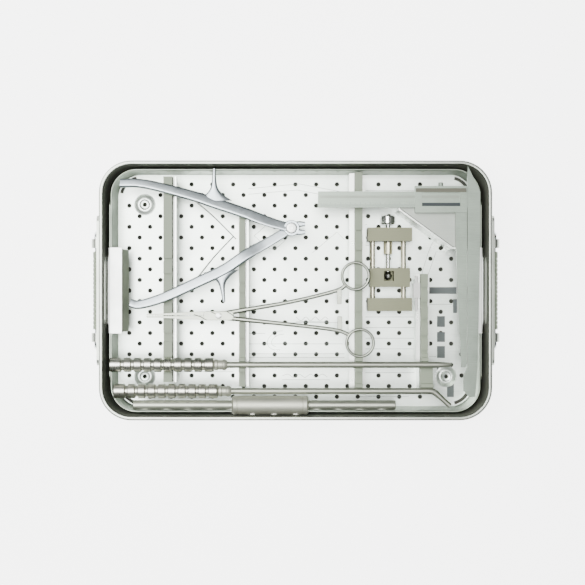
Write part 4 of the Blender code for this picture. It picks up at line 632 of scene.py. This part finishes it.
# On the floor, in mm: each field's low X, low Y, high X and high Y, and each outline's points
PRINTED_FIELDS = (
    (140.0, -3.6, 170.7, 3.7), (167.0, -23.8, 171.2, -9.0), (150.0, -38.6, 158.5, -27.0),
    (150.0, -54.5, 158.5, -43.9), (150.0, -71.5, 158.5, -58.8), (150.0, -92.7, 158.5, -81.0),
    (160.6, -112.8, 168.0, -98.0),
)
ETCHED_LINES = (
    [(-13.5, -42.5), (-21, -44), (-28, -50), (-29.5, -57), (-25, -62), (-16, -63)],
    [(-12, -46), (-19, -47.5), (-24.5, -52), (-25, -57), (-21, -59.5)],
    [(0.6, -28), (6, -32), (11, -28), (16, -32), (21, -28), (26, -32), (31, -28), (34.5, -30)],
    [(0.6, -33), (34.5, -33)],
    [(-14, -90.5), (-8, -88.6), (-2, -92), (4, -88.6), (10, -92), (16, -88.6), (22, -92), (28, -88.6),
     (34, -91.6)],
    [(-14, -94.5), (36.6, -94.5)],
    [(131, 8), (143, 46), (151, 53), (164, 46)],
    [(137, 6), (149, 41), (158, 41)],
    [(-50, 108), (4, 113), (52, 104)],
    [(-50, 102), (2, 106.5), (52, 97)],
    [(66, 106), (166, 106)],
    [(66, 101), (112, 101)],
    [(-50, -18), (40, -4)],
    [(-50, -67), (52, -67)],
    [(-50, -71), (52, -71)],
    [(-128, 4), (-66, 18)],
    [(-128, -86), (-66, -86)],
    [(68, -8), (124, -8)],
    [(68, 21), (70, 33), (78, 33), (78, 62)],
    [(-44, 58), (-22, 74), (-6, 62), (-24, 44), (-44, 58)],
    [(18, 40), (44, 62), (52, 54)],
    [(-50, -34), (50, -34)],
    [(-50, -45.3), (-32, -45.3)],
    [(-50, -56.5), (50, -56.5)],
    [(68, -28), (126, -28)],
    [(68, -39.3), (126, -39.3)],
    [(68, -50.5), (126, -50.5)],
    [(68, -61.8), (126, -61.8)],
    [(68, -87), (126, -87)],
    [(68, -112), (120, -112)],
    [(136, -14.6), (166, -14.6)],
    [(136, -70), (149, -70)],
    [(68, 48), (78, 48)],
    [(68, 70), (76, 70)],
)


def floor_marks():
    """Grey printed fields at the right, and the etched outlines of instruments over the floor."""
    half = 0.05 * MM
    fields = [
        block((x0 * MM, y0 * MM, FLOOR_TOP - half), (x1 * MM, y1 * MM, FLOOR_TOP + half), 0.04 * MM)
        for x0, y0, x1, y1 in PRINTED_FIELDS
    ]
    piece("floor_printed_fields", merged(*fields), PRINT, "inner_tray")
    lines = []
    for points in ETCHED_LINES:
        path = [(x * MM, y * MM, FLOOR_TOP) for x, y in points]
        path = smooth_line(path, 6) if len(points) > 3 else path
        lines.append(swept(path, 0.42 * MM, 0.1 * MM, 3, 8))
    piece("floor_etched_outlines", merged(*lines), ETCH, "inner_tray")


def grip_sheet(name, line, half, side, corners, finish, replaces):
    """A sheet along a profile in X and Z, its last edge with rounded corners."""
    dense = []
    for a, b in zip(line, line[1:]):
        steps = max(1, int(math.dist(a, b) / (0.5 * MM)))
        dense += [tuple(p + (q - p) * s / steps for p, q in zip(a, b)) for s in range(steps)]
    dense.append(line[-1])
    points, faces = [], []
    for i, (u, z) in enumerate(dense):
        edge = math.dist(dense[i], line[-1])
        pull = 0.0
        if edge < corners:
            pull = corners - math.sqrt(corners**2 - (corners - edge) ** 2)
        points += [(side * u, -half + pull, z), (side * u, half - pull, z)]
        if i:
            k = 2 * i
            faces.append((k - 2, k - 1, k + 1, k))
    grip = piece(name, (points, faces), finish, "inner_tray", replaces, sharp=20)
    thick = grip.modifiers.new("sheet", "SOLIDIFY")
    thick.thickness = GRIP_SHEET
    thick.offset = 1 if side > 0 else -1
    crisp = grip.modifiers.new("crisp_edges", "EDGE_SPLIT")
    crisp.split_angle = math.radians(30)


def folded_grip(side, label):
    """The finger grip: turned-down outer edge, flat top with a painted highlight, and leaf sloping inward in
    painted shade.
    """
    low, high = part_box(f"tray_grip_{label}")
    outer = high[0] if side > 0 else -low[0]
    inner = low[0] if side > 0 else -high[0]
    top, bottom = high[2], low[2]
    half = high[1]
    flat = outer - GRIP_FLAT
    bend = 0.8 * MM
    line = [(outer, top - 4.3 * MM), (outer, top - bend)]
    line += [(outer - bend + u, top - bend + v) for u, v in arc((0, 0), bend, 0, math.pi / 2, 6)]
    line += [(flat, top)]
    grip_sheet(
        f"finger_grip_{label}", line, half, side, 1.0 * MM, PAINTED_HIGHLIGHT_STEEL, [f"tray_grip_{label}"]
    )
    leaf = [(flat + 0.5 * MM, top - 0.4 * MM), (flat, top - 1.2 * MM), (inner + 2.4 * MM, bottom)]
    grip_sheet(f"finger_grip_leaf_{label}", leaf, half - 1.6 * MM, side, 1.6 * MM, LEAF_SHADE_STEEL, [])


tray_wall()
tray_floor()
floor_marks()
for side, label in ((-1, "left"), (1, "right")):
    folded_grip(side, label)
    refine(f"tray_end_plate_{label}", WALL_STEEL, 0.4 * MM)
for number in (1, 2, 3, 4):
    refine(f"tray_foot_{number}", SILICONE, 0.3 * MM)
    refine(f"rail_bracket_{number}", RAIL_STEEL, 0.25 * MM)
    refine(f"comb_{number}", SILICONE, 0.35 * MM)
refine("end_pad", SILICONE, 0.5 * MM)
refine("end_pad_stand", RAIL_STEEL, 0.3 * MM)
refine("corner_bracket", RAIL_STEEL, 0.25 * MM)
refine("corner_pad", PAD_GREY, 0.4 * MM)
refine("retaining_clip", WHITE_PLASTIC, 0.6 * MM)
refine("clip_pin", WHITE_PLASTIC, 0.2 * MM)

# ---------------------------------------------------------------- pliers

PIVOT = (-4.1 * MM, 63.8 * MM)
PLIERS_LOW = low_of("pliers_lower_arm")
PLIERS_TOP = top_of("pliers_upper_arm")
PLIERS_MIDDLE = (PLIERS_LOW + PLIERS_TOP) / 2
UPPER_ARM = [(0, 0), (-22, 6.1), (-47.5, 15.3), (-78.2, 25.5), (-103.7, 33.7), (-149.7, 45),
             (-175.2, 46)]
LOWER_ARM = [(0, 0), (-22, -13.3), (-45.5, -26.6), (-67.9, -41.9), (-93.5, -54.1), (-129.2, -70.5),
             (-154.8, -78.2), (-165, -76.6)]
UPPER_SPUR = [(-79, 28), (-79.2, 45), (-79, 61)]
LOWER_SPUR = [(-72, -44), (-70.8, -60), (-69, -75.3)]
ARM_LEAN = math.radians(13)
LAP_CLEARANCE = 0.15 * MM
SPUR = {"root": 11.0, "tip": 3.0, "flare": 26.0}  # widths in mm; the flare is added to the root


def from_pivot(points, pivot, z):
    """Points given in mm from a pivot, at height z."""
    return [(pivot[0] + x * MM, pivot[1] + y * MM, z) for x, y in points]


def eased(start, end, t):
    """From start to end as t goes from 0 to 1, smoothly and clamped."""
    t = max(0.0, min(1.0, t))
    return start + (end - start) * t * t * (3 - 2 * t)


def spur_web(points, z, root, tip, flare):
    """A guard spur that flares smoothly into the arm it stands on."""
    line = smooth_line(from_pivot(points, PIVOT, z), 10)

    def width(t):
        return (tip + (root - tip) * (1 - t) ** 1.6 + flare * max(0.0, 1 - t / 0.5) ** 2.2) * MM

    return swept(line, width, lambda t: (4.8 - 2.0 * t) * MM, 2.6, 16)


def pliers_arm(name, arm, spur, jaw, low_side, body):
    """A forged arm that thins to half at the box joint, with its guard spur and nose."""
    shift = -1 if low_side else 1
    line = smooth_line(from_pivot(arm, PIVOT, PLIERS_MIDDLE), 8)
    full = PLIERS_TOP - PLIERS_LOW
    raised = []
    for x, y, z in line:
        away = math.hypot(x - PIVOT[0], y - PIVOT[1])
        ease = eased(1, 0, (away - 30 * MM) / (22 * MM))
        raised.append((x, y, z + shift * full / 4 * ease))

    def height(t):
        return (full / 2 - 0.2 * MM) + (full / 2) * eased(0, 1, (t - 0.22) / 0.12)

    def width(t):
        return (9.0 + 2.0 * eased(0, 1, t / 0.3) - 2.6 * eased(0, 1, (t - 0.5) / 0.5)) * MM

    bar = swept(raised, width, height, 4.6, 32, tilt=ARM_LEAN)
    hook = spur_web(spur, PLIERS_MIDDLE, **SPUR)
    base = PLIERS_LOW if low_side else PLIERS_MIDDLE + LAP_CLEARANCE
    thick = full / 2 - LAP_CLEARANCE
    boss_profile = [(3.3, 0), (7.6, 0), (8.2, 0.5), (8.2, 2.2), (7.6, 2.8), (3.3, 2.8)]
    boss = turned(
        [(r * MM, d * thick / 2.8) for r, d in boss_profile], "Z", (*PIVOT, base), 40, closed=True
    )
    nose_line = from_pivot(jaw, PIVOT, base + thick / 2)
    nose = swept(
        smooth_line(nose_line, 6), lambda t: (8.5 - 4.0 * t) * MM, thick - 0.1 * MM, 3.2, 16
    )
    piece(f"{name}_forging", merged(bar, hook, boss, nose), PLIERS_STEEL, body, [name])


def leaf_spring(name, points, body, z):
    """A flat strip that thins towards its free end."""
    line = smooth_line(from_pivot(points, PIVOT, z), 8)
    leaf = swept(line, lambda t: (1.7 - 0.5 * t) * MM, 2.4 * MM, 5, 12)
    piece(f"{name}_leaf", leaf, SPRING_STEEL, body, [name])


def pivot_pin():
    """The pliers' pin with its dished head."""
    low = low_of("pliers_pivot_pin")
    top = top_of("pliers_pivot_pin") - low
    profile = [(0, 0), (3.0 * MM, 0), (3.0 * MM, top - 1.4 * MM), (5.7 * MM, top - 1.4 * MM),
               (5.7 * MM, top - 0.7 * MM), (5.3 * MM, top - 0.25 * MM), (4.4 * MM, top),
               (2.2 * MM, top), (1.9 * MM, top - 0.3 * MM), (0, top - 0.3 * MM)]
    pin = turned(profile, "Z", (*PIVOT, low), 40)
    # The near-white steel paints a highlight on the pin's head.
    piece("pliers_pin_head", pin, PAINTED_HIGHLIGHT_STEEL, "pliers", ["pliers_pivot_pin"])


pliers_arm("pliers_lower_arm", LOWER_ARM, LOWER_SPUR, [(0, 0), (7, 4), (14, 4.2)], True, "pliers")
pliers_arm("pliers_upper_arm", UPPER_ARM, UPPER_SPUR, [(0, 0), (7, -4), (14, -4.2)], False, "pliers_upper")
leaf_spring(
    "pliers_lower_spring", [(-95.4, -49.5), (-78, -28), (-59.8, -8.8)], "pliers",
    PLIERS_LOW + 1.4 * MM,
)
leaf_spring(
    "pliers_upper_spring", [(-99.6, 28.5), (-80, 12), (-56.7, -11.2)], "pliers_upper",
    PLIERS_MIDDLE + 1.6 * MM,
)
pivot_pin()

# ---------------------------------------------------------------- forceps

FORCEPS_PIVOT = (-78.7 * MM, -25.8 * MM)
FORCEPS_LOW = low_of("forceps_fixed_half")
FORCEPS_TOP = top_of("forceps_moving_half")
FORCEPS_MIDDLE = (FORCEPS_LOW + FORCEPS_TOP) / 2
FORCEPS_RING = 13.8 * MM
RING_WIRE = 3.0 * MM
LOCK_HALF = (15.5 * MM, 4.6 * MM)
LOCK_CORNER = 3.4 * MM
JAW_TIP = 73 * MM  # from the pivot, as are the next two
JAW_ROOT = 10 * MM
CATCH_X = 124.5 * MM
JAW_STEPS = 46
CATCH_LENGTH = 15 * MM
CATCH_HALF = (2.4 * MM, 0.8 * MM)  # across and in height


def forceps_half(name, side, shank, ring, body):
    """Serrated jaw, box lock, tapering shank with its catch, and the finger ring."""
    px, py = FORCEPS_PIVOT
    z = FORCEPS_MIDDLE
    full = FORCEPS_TOP - FORCEPS_LOW
    line = smooth_line(from_pivot([(0, 0), *shank], FORCEPS_PIVOT, z), 10)
    bar = swept(
        line, lambda t: (5.6 - 1.6 * eased(0, 1, t * 1.6)) * MM,
        lambda t: full * (1 - 0.35 * eased(0, 1, t)) - 0.1 * MM, 2.3, 16,
    )
    lock_z = z + side * full / 4
    thick = full / 2 - 0.1 * MM
    lock_loop = rounded_rectangle(*LOCK_HALF, LOCK_CORNER, 8, FORCEPS_PIVOT)
    lock = plate([lock_loop], lock_z - thick / 2, lock_z + thick / 2, "XY", 0.4 * MM)
    jaw_side = -side
    start, tip = px - JAW_ROOT, px - JAW_TIP
    outer, inner = [], []
    for i in range(JAW_STEPS + 1):
        t = i / JAW_STEPS
        x = start + (tip - start) * t
        half = 4.0 - 2.3 * eased(0, 1, t)
        outer.append((x, py + jaw_side * (0.25 + half) * MM))
        tooth = 0.3 if i % 2 and t > 0.25 else 0.0
        inner.append((x, py + jaw_side * (0.2 + tooth) * MM))
    end = [(tip - 1.0 * MM, py + jaw_side * 0.9 * MM)]
    loop = inner + end + outer[::-1]
    if jaw_side > 0:
        loop = loop[::-1]
    jaw = plate([loop], FORCEPS_LOW + 0.2 * MM, FORCEPS_TOP - 0.2 * MM, "XY", 0.15 * MM)
    centre = from_pivot([ring], FORCEPS_PIVOT, z)[0]
    hoop = [(*p, z) for p in circle(centre, FORCEPS_RING, 56)]
    ring_wire = swept(hoop, RING_WIRE, RING_WIRE, 2.2, 14, closed=True)
    catch_x, root_y, _ = [p for p in line if p[0] < px + CATCH_X][-1]
    low_y, high_y = sorted((root_y, root_y - side * CATCH_LENGTH))
    across, half_height = CATCH_HALF
    catch = block(
        (catch_x - across, low_y, lock_z - half_height),
        (catch_x + across, high_y, lock_z + half_height), 0.3 * MM,
    )
    tooth_top = 0.95 * MM if side > 0 else half_height
    catch_teeth = []
    for i in range(4):
        y = root_y - side * (8 + 1.6 * i) * MM
        catch_teeth.append(block(
            (catch_x - 2.2 * MM, y - 0.35 * MM, lock_z - 0.9 * MM),
            (catch_x + 2.2 * MM, y + 0.35 * MM, lock_z + tooth_top), 0.1 * MM,
        ))
    forging = merged(bar, lock, jaw, ring_wire, catch, *catch_teeth)
    piece(f"{name}_forging", forging, FORCEPS_STEEL, body, [name])


def lock_seams():
    """The dark seams of the box lock, as thin strips on its upper face."""
    seams = (
        [(-104, -24.6), (-97, -26.9), (-91, -30.4)],
        [(-70, -21.6), (-65, -24.6), (-62, -27.4)],
        [(-86, -22.2), (-82, -23.6)],
    )
    strips = []
    for points in seams:
        path = [(x * MM, y * MM, FORCEPS_TOP + 0.02 * MM) for x, y in points]
        strips.append(swept(path, 0.9 * MM, 0.14 * MM, 3, 8))
    piece("forceps_lock_seams", merged(*strips), SHADE_AND_SEAM_DARK, "forceps_moving")


def lock_screw():
    """The forceps' screw with its slotted head."""
    low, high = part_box("forceps_screw")
    x, y = FORCEPS_PIVOT
    head = high[2] - low[2]
    profile = [(0, 0), (2 * MM, 0), (2 * MM, head - 0.7 * MM), (3.2 * MM, head - 0.7 * MM),
               (3.1 * MM, head - 0.25 * MM), (2.5 * MM, head), (0, head)]
    screw = turned(profile, "Z", (x, y, low[2]), 32)
    slot = block(
        (x - 4 * MM, y - 0.35 * MM, high[2] - 0.4 * MM), (x + 4 * MM, y + 0.35 * MM, high[2] + MM),
        0.02 * MM,
    )
    # The near-white steel paints a highlight on the screw's head.
    piece(
        "forceps_screw_head", carve(screw, slot), PAINTED_HIGHLIGHT_STEEL, "forceps",
        ["forceps_screw"],
    )


forceps_half(
    "forceps_fixed_half", -1, [(11.7, -2.6), (73, -9), (119, -14.6), (134, -19.8)], (144.8, -27.9),
    "forceps",
)
forceps_half(
    "forceps_moving_half", 1, [(11.7, 3.4), (73, 14), (119, 25.2), (130.4, 31.2)], (140.2, 40.6),
    "forceps_moving",
)
lock_seams()
lock_screw()

# ---------------------------------------------------------------- awls and grip rod


RIB_PITCH = 10.3 * MM
RIB_COUNT = 9
SHAFT_RADIUS = 3.2 * MM
HOOK_BEND_RADIUS = 10 * MM
HOOK = (137 * MM, math.radians(42), 26 * MM)  # the bend's X, its angle, and the length after


def awl(name, y, body, hook=None):
    """Turned ribbed handle, waisted ferrule and ground shaft."""
    low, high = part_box(f"{name}_handle")
    z = (low[2] + high[2]) / 2
    crest = (high[2] - low[2]) / 2
    length = high[0] - low[0]
    groove = crest - 1.9 * MM
    butt = (length - (RIB_COUNT - 1) * RIB_PITCH) / 2
    profile = [(0, 0.3 * MM), (3.2 * MM, 0.3 * MM), (3.6 * MM, 0), (crest - 1.0 * MM, 0),
               (crest - 0.3 * MM, 0.3 * MM), (crest, 1.0 * MM), (crest, butt - 1.0 * MM)]
    for i in range(RIB_COUNT):
        x = butt + i * RIB_PITCH
        wide = RIB_PITCH - 1.0 * MM if i < RIB_COUNT - 1 else butt - 1.5 * MM
        profile += [(crest - 0.5 * MM, x - 0.4 * MM), (groove, x + 0.2 * MM), (groove, x + 2.0 * MM),
                    (crest - 0.5 * MM, x + 2.6 * MM), (crest, x + 3.1 * MM), (crest, x + wide)]
    profile = profile[:-1]
    profile += [(crest, length - 1.3 * MM), (crest - 0.4 * MM, length - 0.4 * MM),
                (crest - 1.3 * MM, length), (0, length)]
    handle = turned(profile, "X", (low[0], y, z), 40)
    piece(
        f"{name}_ribbed_handle", handle, HANDLE_TURNED, body, [f"{name}_handle"], sharp=12
    )
    low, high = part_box(f"{name}_ferrule")
    wide, length = (high[2] - low[2]) / 2 / MM, (high[0] - low[0]) / MM
    profile = [(3.3, 0), (wide - 0.8, 0), (wide, 0.8), (wide, 3.2), (wide - 0.7, 4.0),
               (wide - 0.7, 8.0), (wide, 8.8), (wide, 11.0), (4.2, length), (3.3, length)]
    ferrule = turned([(r * MM, d * MM) for r, d in profile], "X", (low[0], y, z), 36, closed=True)
    piece(f"{name}_collar", ferrule, KNURL_STEEL, body, [f"{name}_ferrule"])
    low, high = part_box(f"{name}_shaft")
    radius = SHAFT_RADIUS
    if hook is None:
        run = high[0] - low[0]
        profile = [(0, 0), (radius, 0), (radius, run - 14 * MM), (radius - 0.2 * MM, run - 10 * MM),
                   (2.2 * MM, run - 3 * MM), (1.4 * MM, run - 0.6 * MM), (0.8 * MM, run), (0, run)]
        shaft = turned(profile, "X", (low[0], y, z), 28)
    else:
        bend, angle, reach = hook
        start = (bend, y - HOOK_BEND_RADIUS)
        turn = arc(start, HOOK_BEND_RADIUS, math.pi / 2, math.pi / 2 - angle, 14)
        run = reach - HOOK_BEND_RADIUS * angle
        tip = (turn[-1][0] + run * math.cos(angle), turn[-1][1] - run * math.sin(angle))
        path = [(low[0], y, z), (bend - 40 * MM, y, z), (bend - 1 * MM, y, z)]
        path += [(*point, z) for point in turn]
        path += [((turn[-1][0] + tip[0]) / 2, (turn[-1][1] + tip[1]) / 2, z), (*tip, z)]
        shaft = swept(path, lambda t: 2 * radius * (1 if t < 0.93 else 0.82), 2 * radius, 2, 24)
    piece(f"{name}_ground_shaft", shaft, ROD_STEEL, body, [f"{name}_shaft"])


def centre_y(node):
    low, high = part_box(node)
    return (low[1] + high[1]) / 2


awl("straight_awl", centre_y("straight_awl_handle"), "straight_awl")
awl("hooked_awl", centre_y("hooked_awl_handle"), "hooked_awl", HOOK)


def grip_rod():
    """The plain rod and the sleeve with its two grooves."""
    low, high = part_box("grip_rod")
    y, z = (low[1] + high[1]) / 2, (low[2] + high[2]) / 2
    radius, run = (high[2] - low[2]) / 2, high[0] - low[0]
    profile = [(0, 0.2), (1.4, 0.2), (1.8, 0), (radius / MM - 0.8, 0), (radius / MM, 0.8)]
    profile = [(r * MM, d * MM) for r, d in profile]
    profile += [(radius, run - 0.8 * MM), (radius - 0.8 * MM, run), (1.8 * MM, run),
                (1.4 * MM, run - 0.2 * MM), (0, run - 0.2 * MM)]
    rod = turned(profile, "X", (low[0], y, z), 36)
    piece("grip_rod_bar", rod, ROD_STEEL, "grip_rod", ["grip_rod"])
    low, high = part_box("grip_rod_sleeve")
    outer, run = (high[2] - low[2]) / 2, high[0] - low[0]
    groove = outer - 0.35 * MM
    edge = [(radius + 0.15 * MM, 0.3 * MM), (outer - 2.2 * MM, 0), (outer - 1.5 * MM, 0.2 * MM),
            (outer, 1.7 * MM), (outer, 5 * MM), (groove, 5.3 * MM), (groove, 6.1 * MM),
            (outer, 6.4 * MM)]
    profile = edge + [(r, run - d) for r, d in reversed(edge)]
    sleeve = turned(profile, "X", (low[0], y, z), 48, closed=True)
    piece("grip_rod_weight", sleeve, KNURL_STEEL, "grip_rod", ["grip_rod_sleeve"])


grip_rod()

# ---------------------------------------------------------------- caliper

refine("caliper_beam", CALIPER_STEEL, 0.25 * MM)
refine("caliper_slider", CALIPER_STEEL, 0.25 * MM)
refine("caliper_lock_screw", CALIPER_STEEL, 0.2 * MM)
BEAM_LOW, BEAM_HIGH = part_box("caliper_beam")
SLIDER_LOW, SLIDER_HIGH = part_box("caliper_slider")
BEAM_Y = 92.4 * MM
BEAM_HALF = 8.15 * MM


def graduations():
    """Scale ticks along the beam's lower edge, 1 mm apart, longer at each fifth and tenth."""
    base, top = BEAM_HIGH[2] - 0.05 * MM, BEAM_HIGH[2] + 0.03 * MM
    y = BEAM_Y - BEAM_HALF + 0.8 * MM
    half = 0.09 * MM
    marks = []
    for i in range(151):
        x = BEAM_LOW[0] + 3 * MM + i * MM
        if x > SLIDER_HIGH[0] - 1 * MM:
            break
        reach = (4.4 if i % 10 == 0 else 3.4 if i % 5 == 0 else 2.4) * MM
        marks.append(block((x - half, y, base), (x + half, y + reach, top), 0.01 * MM))
    return merged(*marks)


def depth_groove():
    """The shaded line along the upper half of the beam."""
    y = BEAM_Y + 2.6 * MM
    half = 1.3 * MM
    return block(
        (BEAM_LOW[0] + 2 * MM, y - half, BEAM_HIGH[2] - 0.05 * MM),
        (SLIDER_LOW[0] + 45 * MM, y + half, BEAM_HIGH[2] + 0.04 * MM), 0.02 * MM,
    )


def slider_recess_shades():
    """The painted shade of the channel under the slider's upper lip and of the slot along the window's sill,
    as thin dark sheets.
    """
    left, right = SLIDER_LOW[0], SLIDER_HIGH[0]
    top = SLIDER_HIGH[2]
    channel = block(
        (left + 0.8 * MM, BEAM_Y + 7.2 * MM, top - 0.1 * MM),
        (right - 0.8 * MM, BEAM_Y + 11.2 * MM, top + 0.05 * MM), 0.05 * MM,
    )
    slot = block(
        (left + 7.1 * MM, BEAM_Y - 6.8 * MM, BEAM_HIGH[2] + 0.15 * MM),
        (right - 7.1 * MM, BEAM_Y - 3.4 * MM, BEAM_HIGH[2] + 0.3 * MM), 0.05 * MM,
    )
    return channel, slot


piece("caliper_graduations", graduations(), INK, "caliper")
channel_mesh, slot_mesh = slider_recess_shades()
# Both recesses are painted shade on flat sheets.
piece("caliper_slider_channel_shade", channel_mesh, CALIPER_CHANNEL_SHADE, "caliper_slider")
piece("caliper_slider_slot_shade", slot_mesh, CALIPER_SLOT_SHADE, "caliper_slider")
piece("caliper_depth_groove", depth_groove(), CALIPER_SHADE, "caliper")

# ---------------------------------------------------------------- screw clamp

for node in ("clamp_top_bar", "clamp_lower_bar", "clamp_moving_bar"):
    refine(node, CLAMP_ALLOY, 0.7 * MM)
refine("clamp_bush", POST_BRASS, 0.2 * MM)
refine("clamp_post_left", POST_BRASS, 0.2 * MM)
refine("clamp_post_right", POST_BRASS, 0.2 * MM)
refine("clamp_screw", CHROME, 0.1 * MM)
refine("clamp_knob", CHROME, 0.3 * MM)

# ---------------------------------------------------------------- stage, light and camera

VIEW_HEIGHT = 1.3
VIEW_SHIFT = (-3.1 * MM, -2.06 * MM)
LENS = 74.69
TABLE_SIZE = 4
TABLE_GLOW = 4.5
WORLD_COLOUR = (0.95, 1.0, 0.95, 1)
WORLD_STRENGTH = 0.18
LAMP_COLOUR = (1.0, 1.0, 0.98)
LAMPS = (  # name, place, size in metres, power in watts
    ("softbox_left", (-0.75, 0.55, 1.25), 0.6, 12),
    ("softbox_top", (-0.32, 0.08, 1.9), 1.0, 42),
)
LAMP_TARGET = (-0.05, 0, 0)


def stage_and_light():
    """The pale table, the two softboxes and the camera straight above."""
    bpy.ops.mesh.primitive_plane_add(size=TABLE_SIZE, location=(0, 0, -0.0005))
    table = bpy.context.active_object
    table.name = "table_top"
    table.data.materials.append(TABLE)
    shine = TABLE.node_tree.nodes["Principled BSDF"]
    shine.inputs["Emission Color"].default_value = (1, 1, 1, 1)
    shine.inputs["Emission Strength"].default_value = TABLE_GLOW
    world = bpy.data.worlds.new("studio")
    bpy.context.scene.world = world
    world.use_nodes = True
    sky = world.node_tree.nodes["Background"]
    sky.inputs["Color"].default_value = WORLD_COLOUR
    sky.inputs["Strength"].default_value = WORLD_STRENGTH
    for name, place, size, power in LAMPS:
        light = bpy.data.lights.new(name, "AREA")
        light.size = size
        light.energy = power
        light.color = LAMP_COLOUR
        lamp = bpy.data.objects.new(name, light)
        bpy.context.scene.collection.objects.link(lamp)
        lamp.location = place
        lamp.rotation_euler = (Vector(place) - Vector(LAMP_TARGET)).to_track_quat("Z", "Y").to_euler()
    camera_data = bpy.data.cameras.new("camera")
    camera_data.lens = LENS
    camera = bpy.data.objects.new("camera", camera_data)
    camera.location = (*VIEW_SHIFT, VIEW_HEIGHT)
    bpy.context.scene.collection.objects.link(camera)
    bpy.context.scene.camera = camera


stage_and_light()
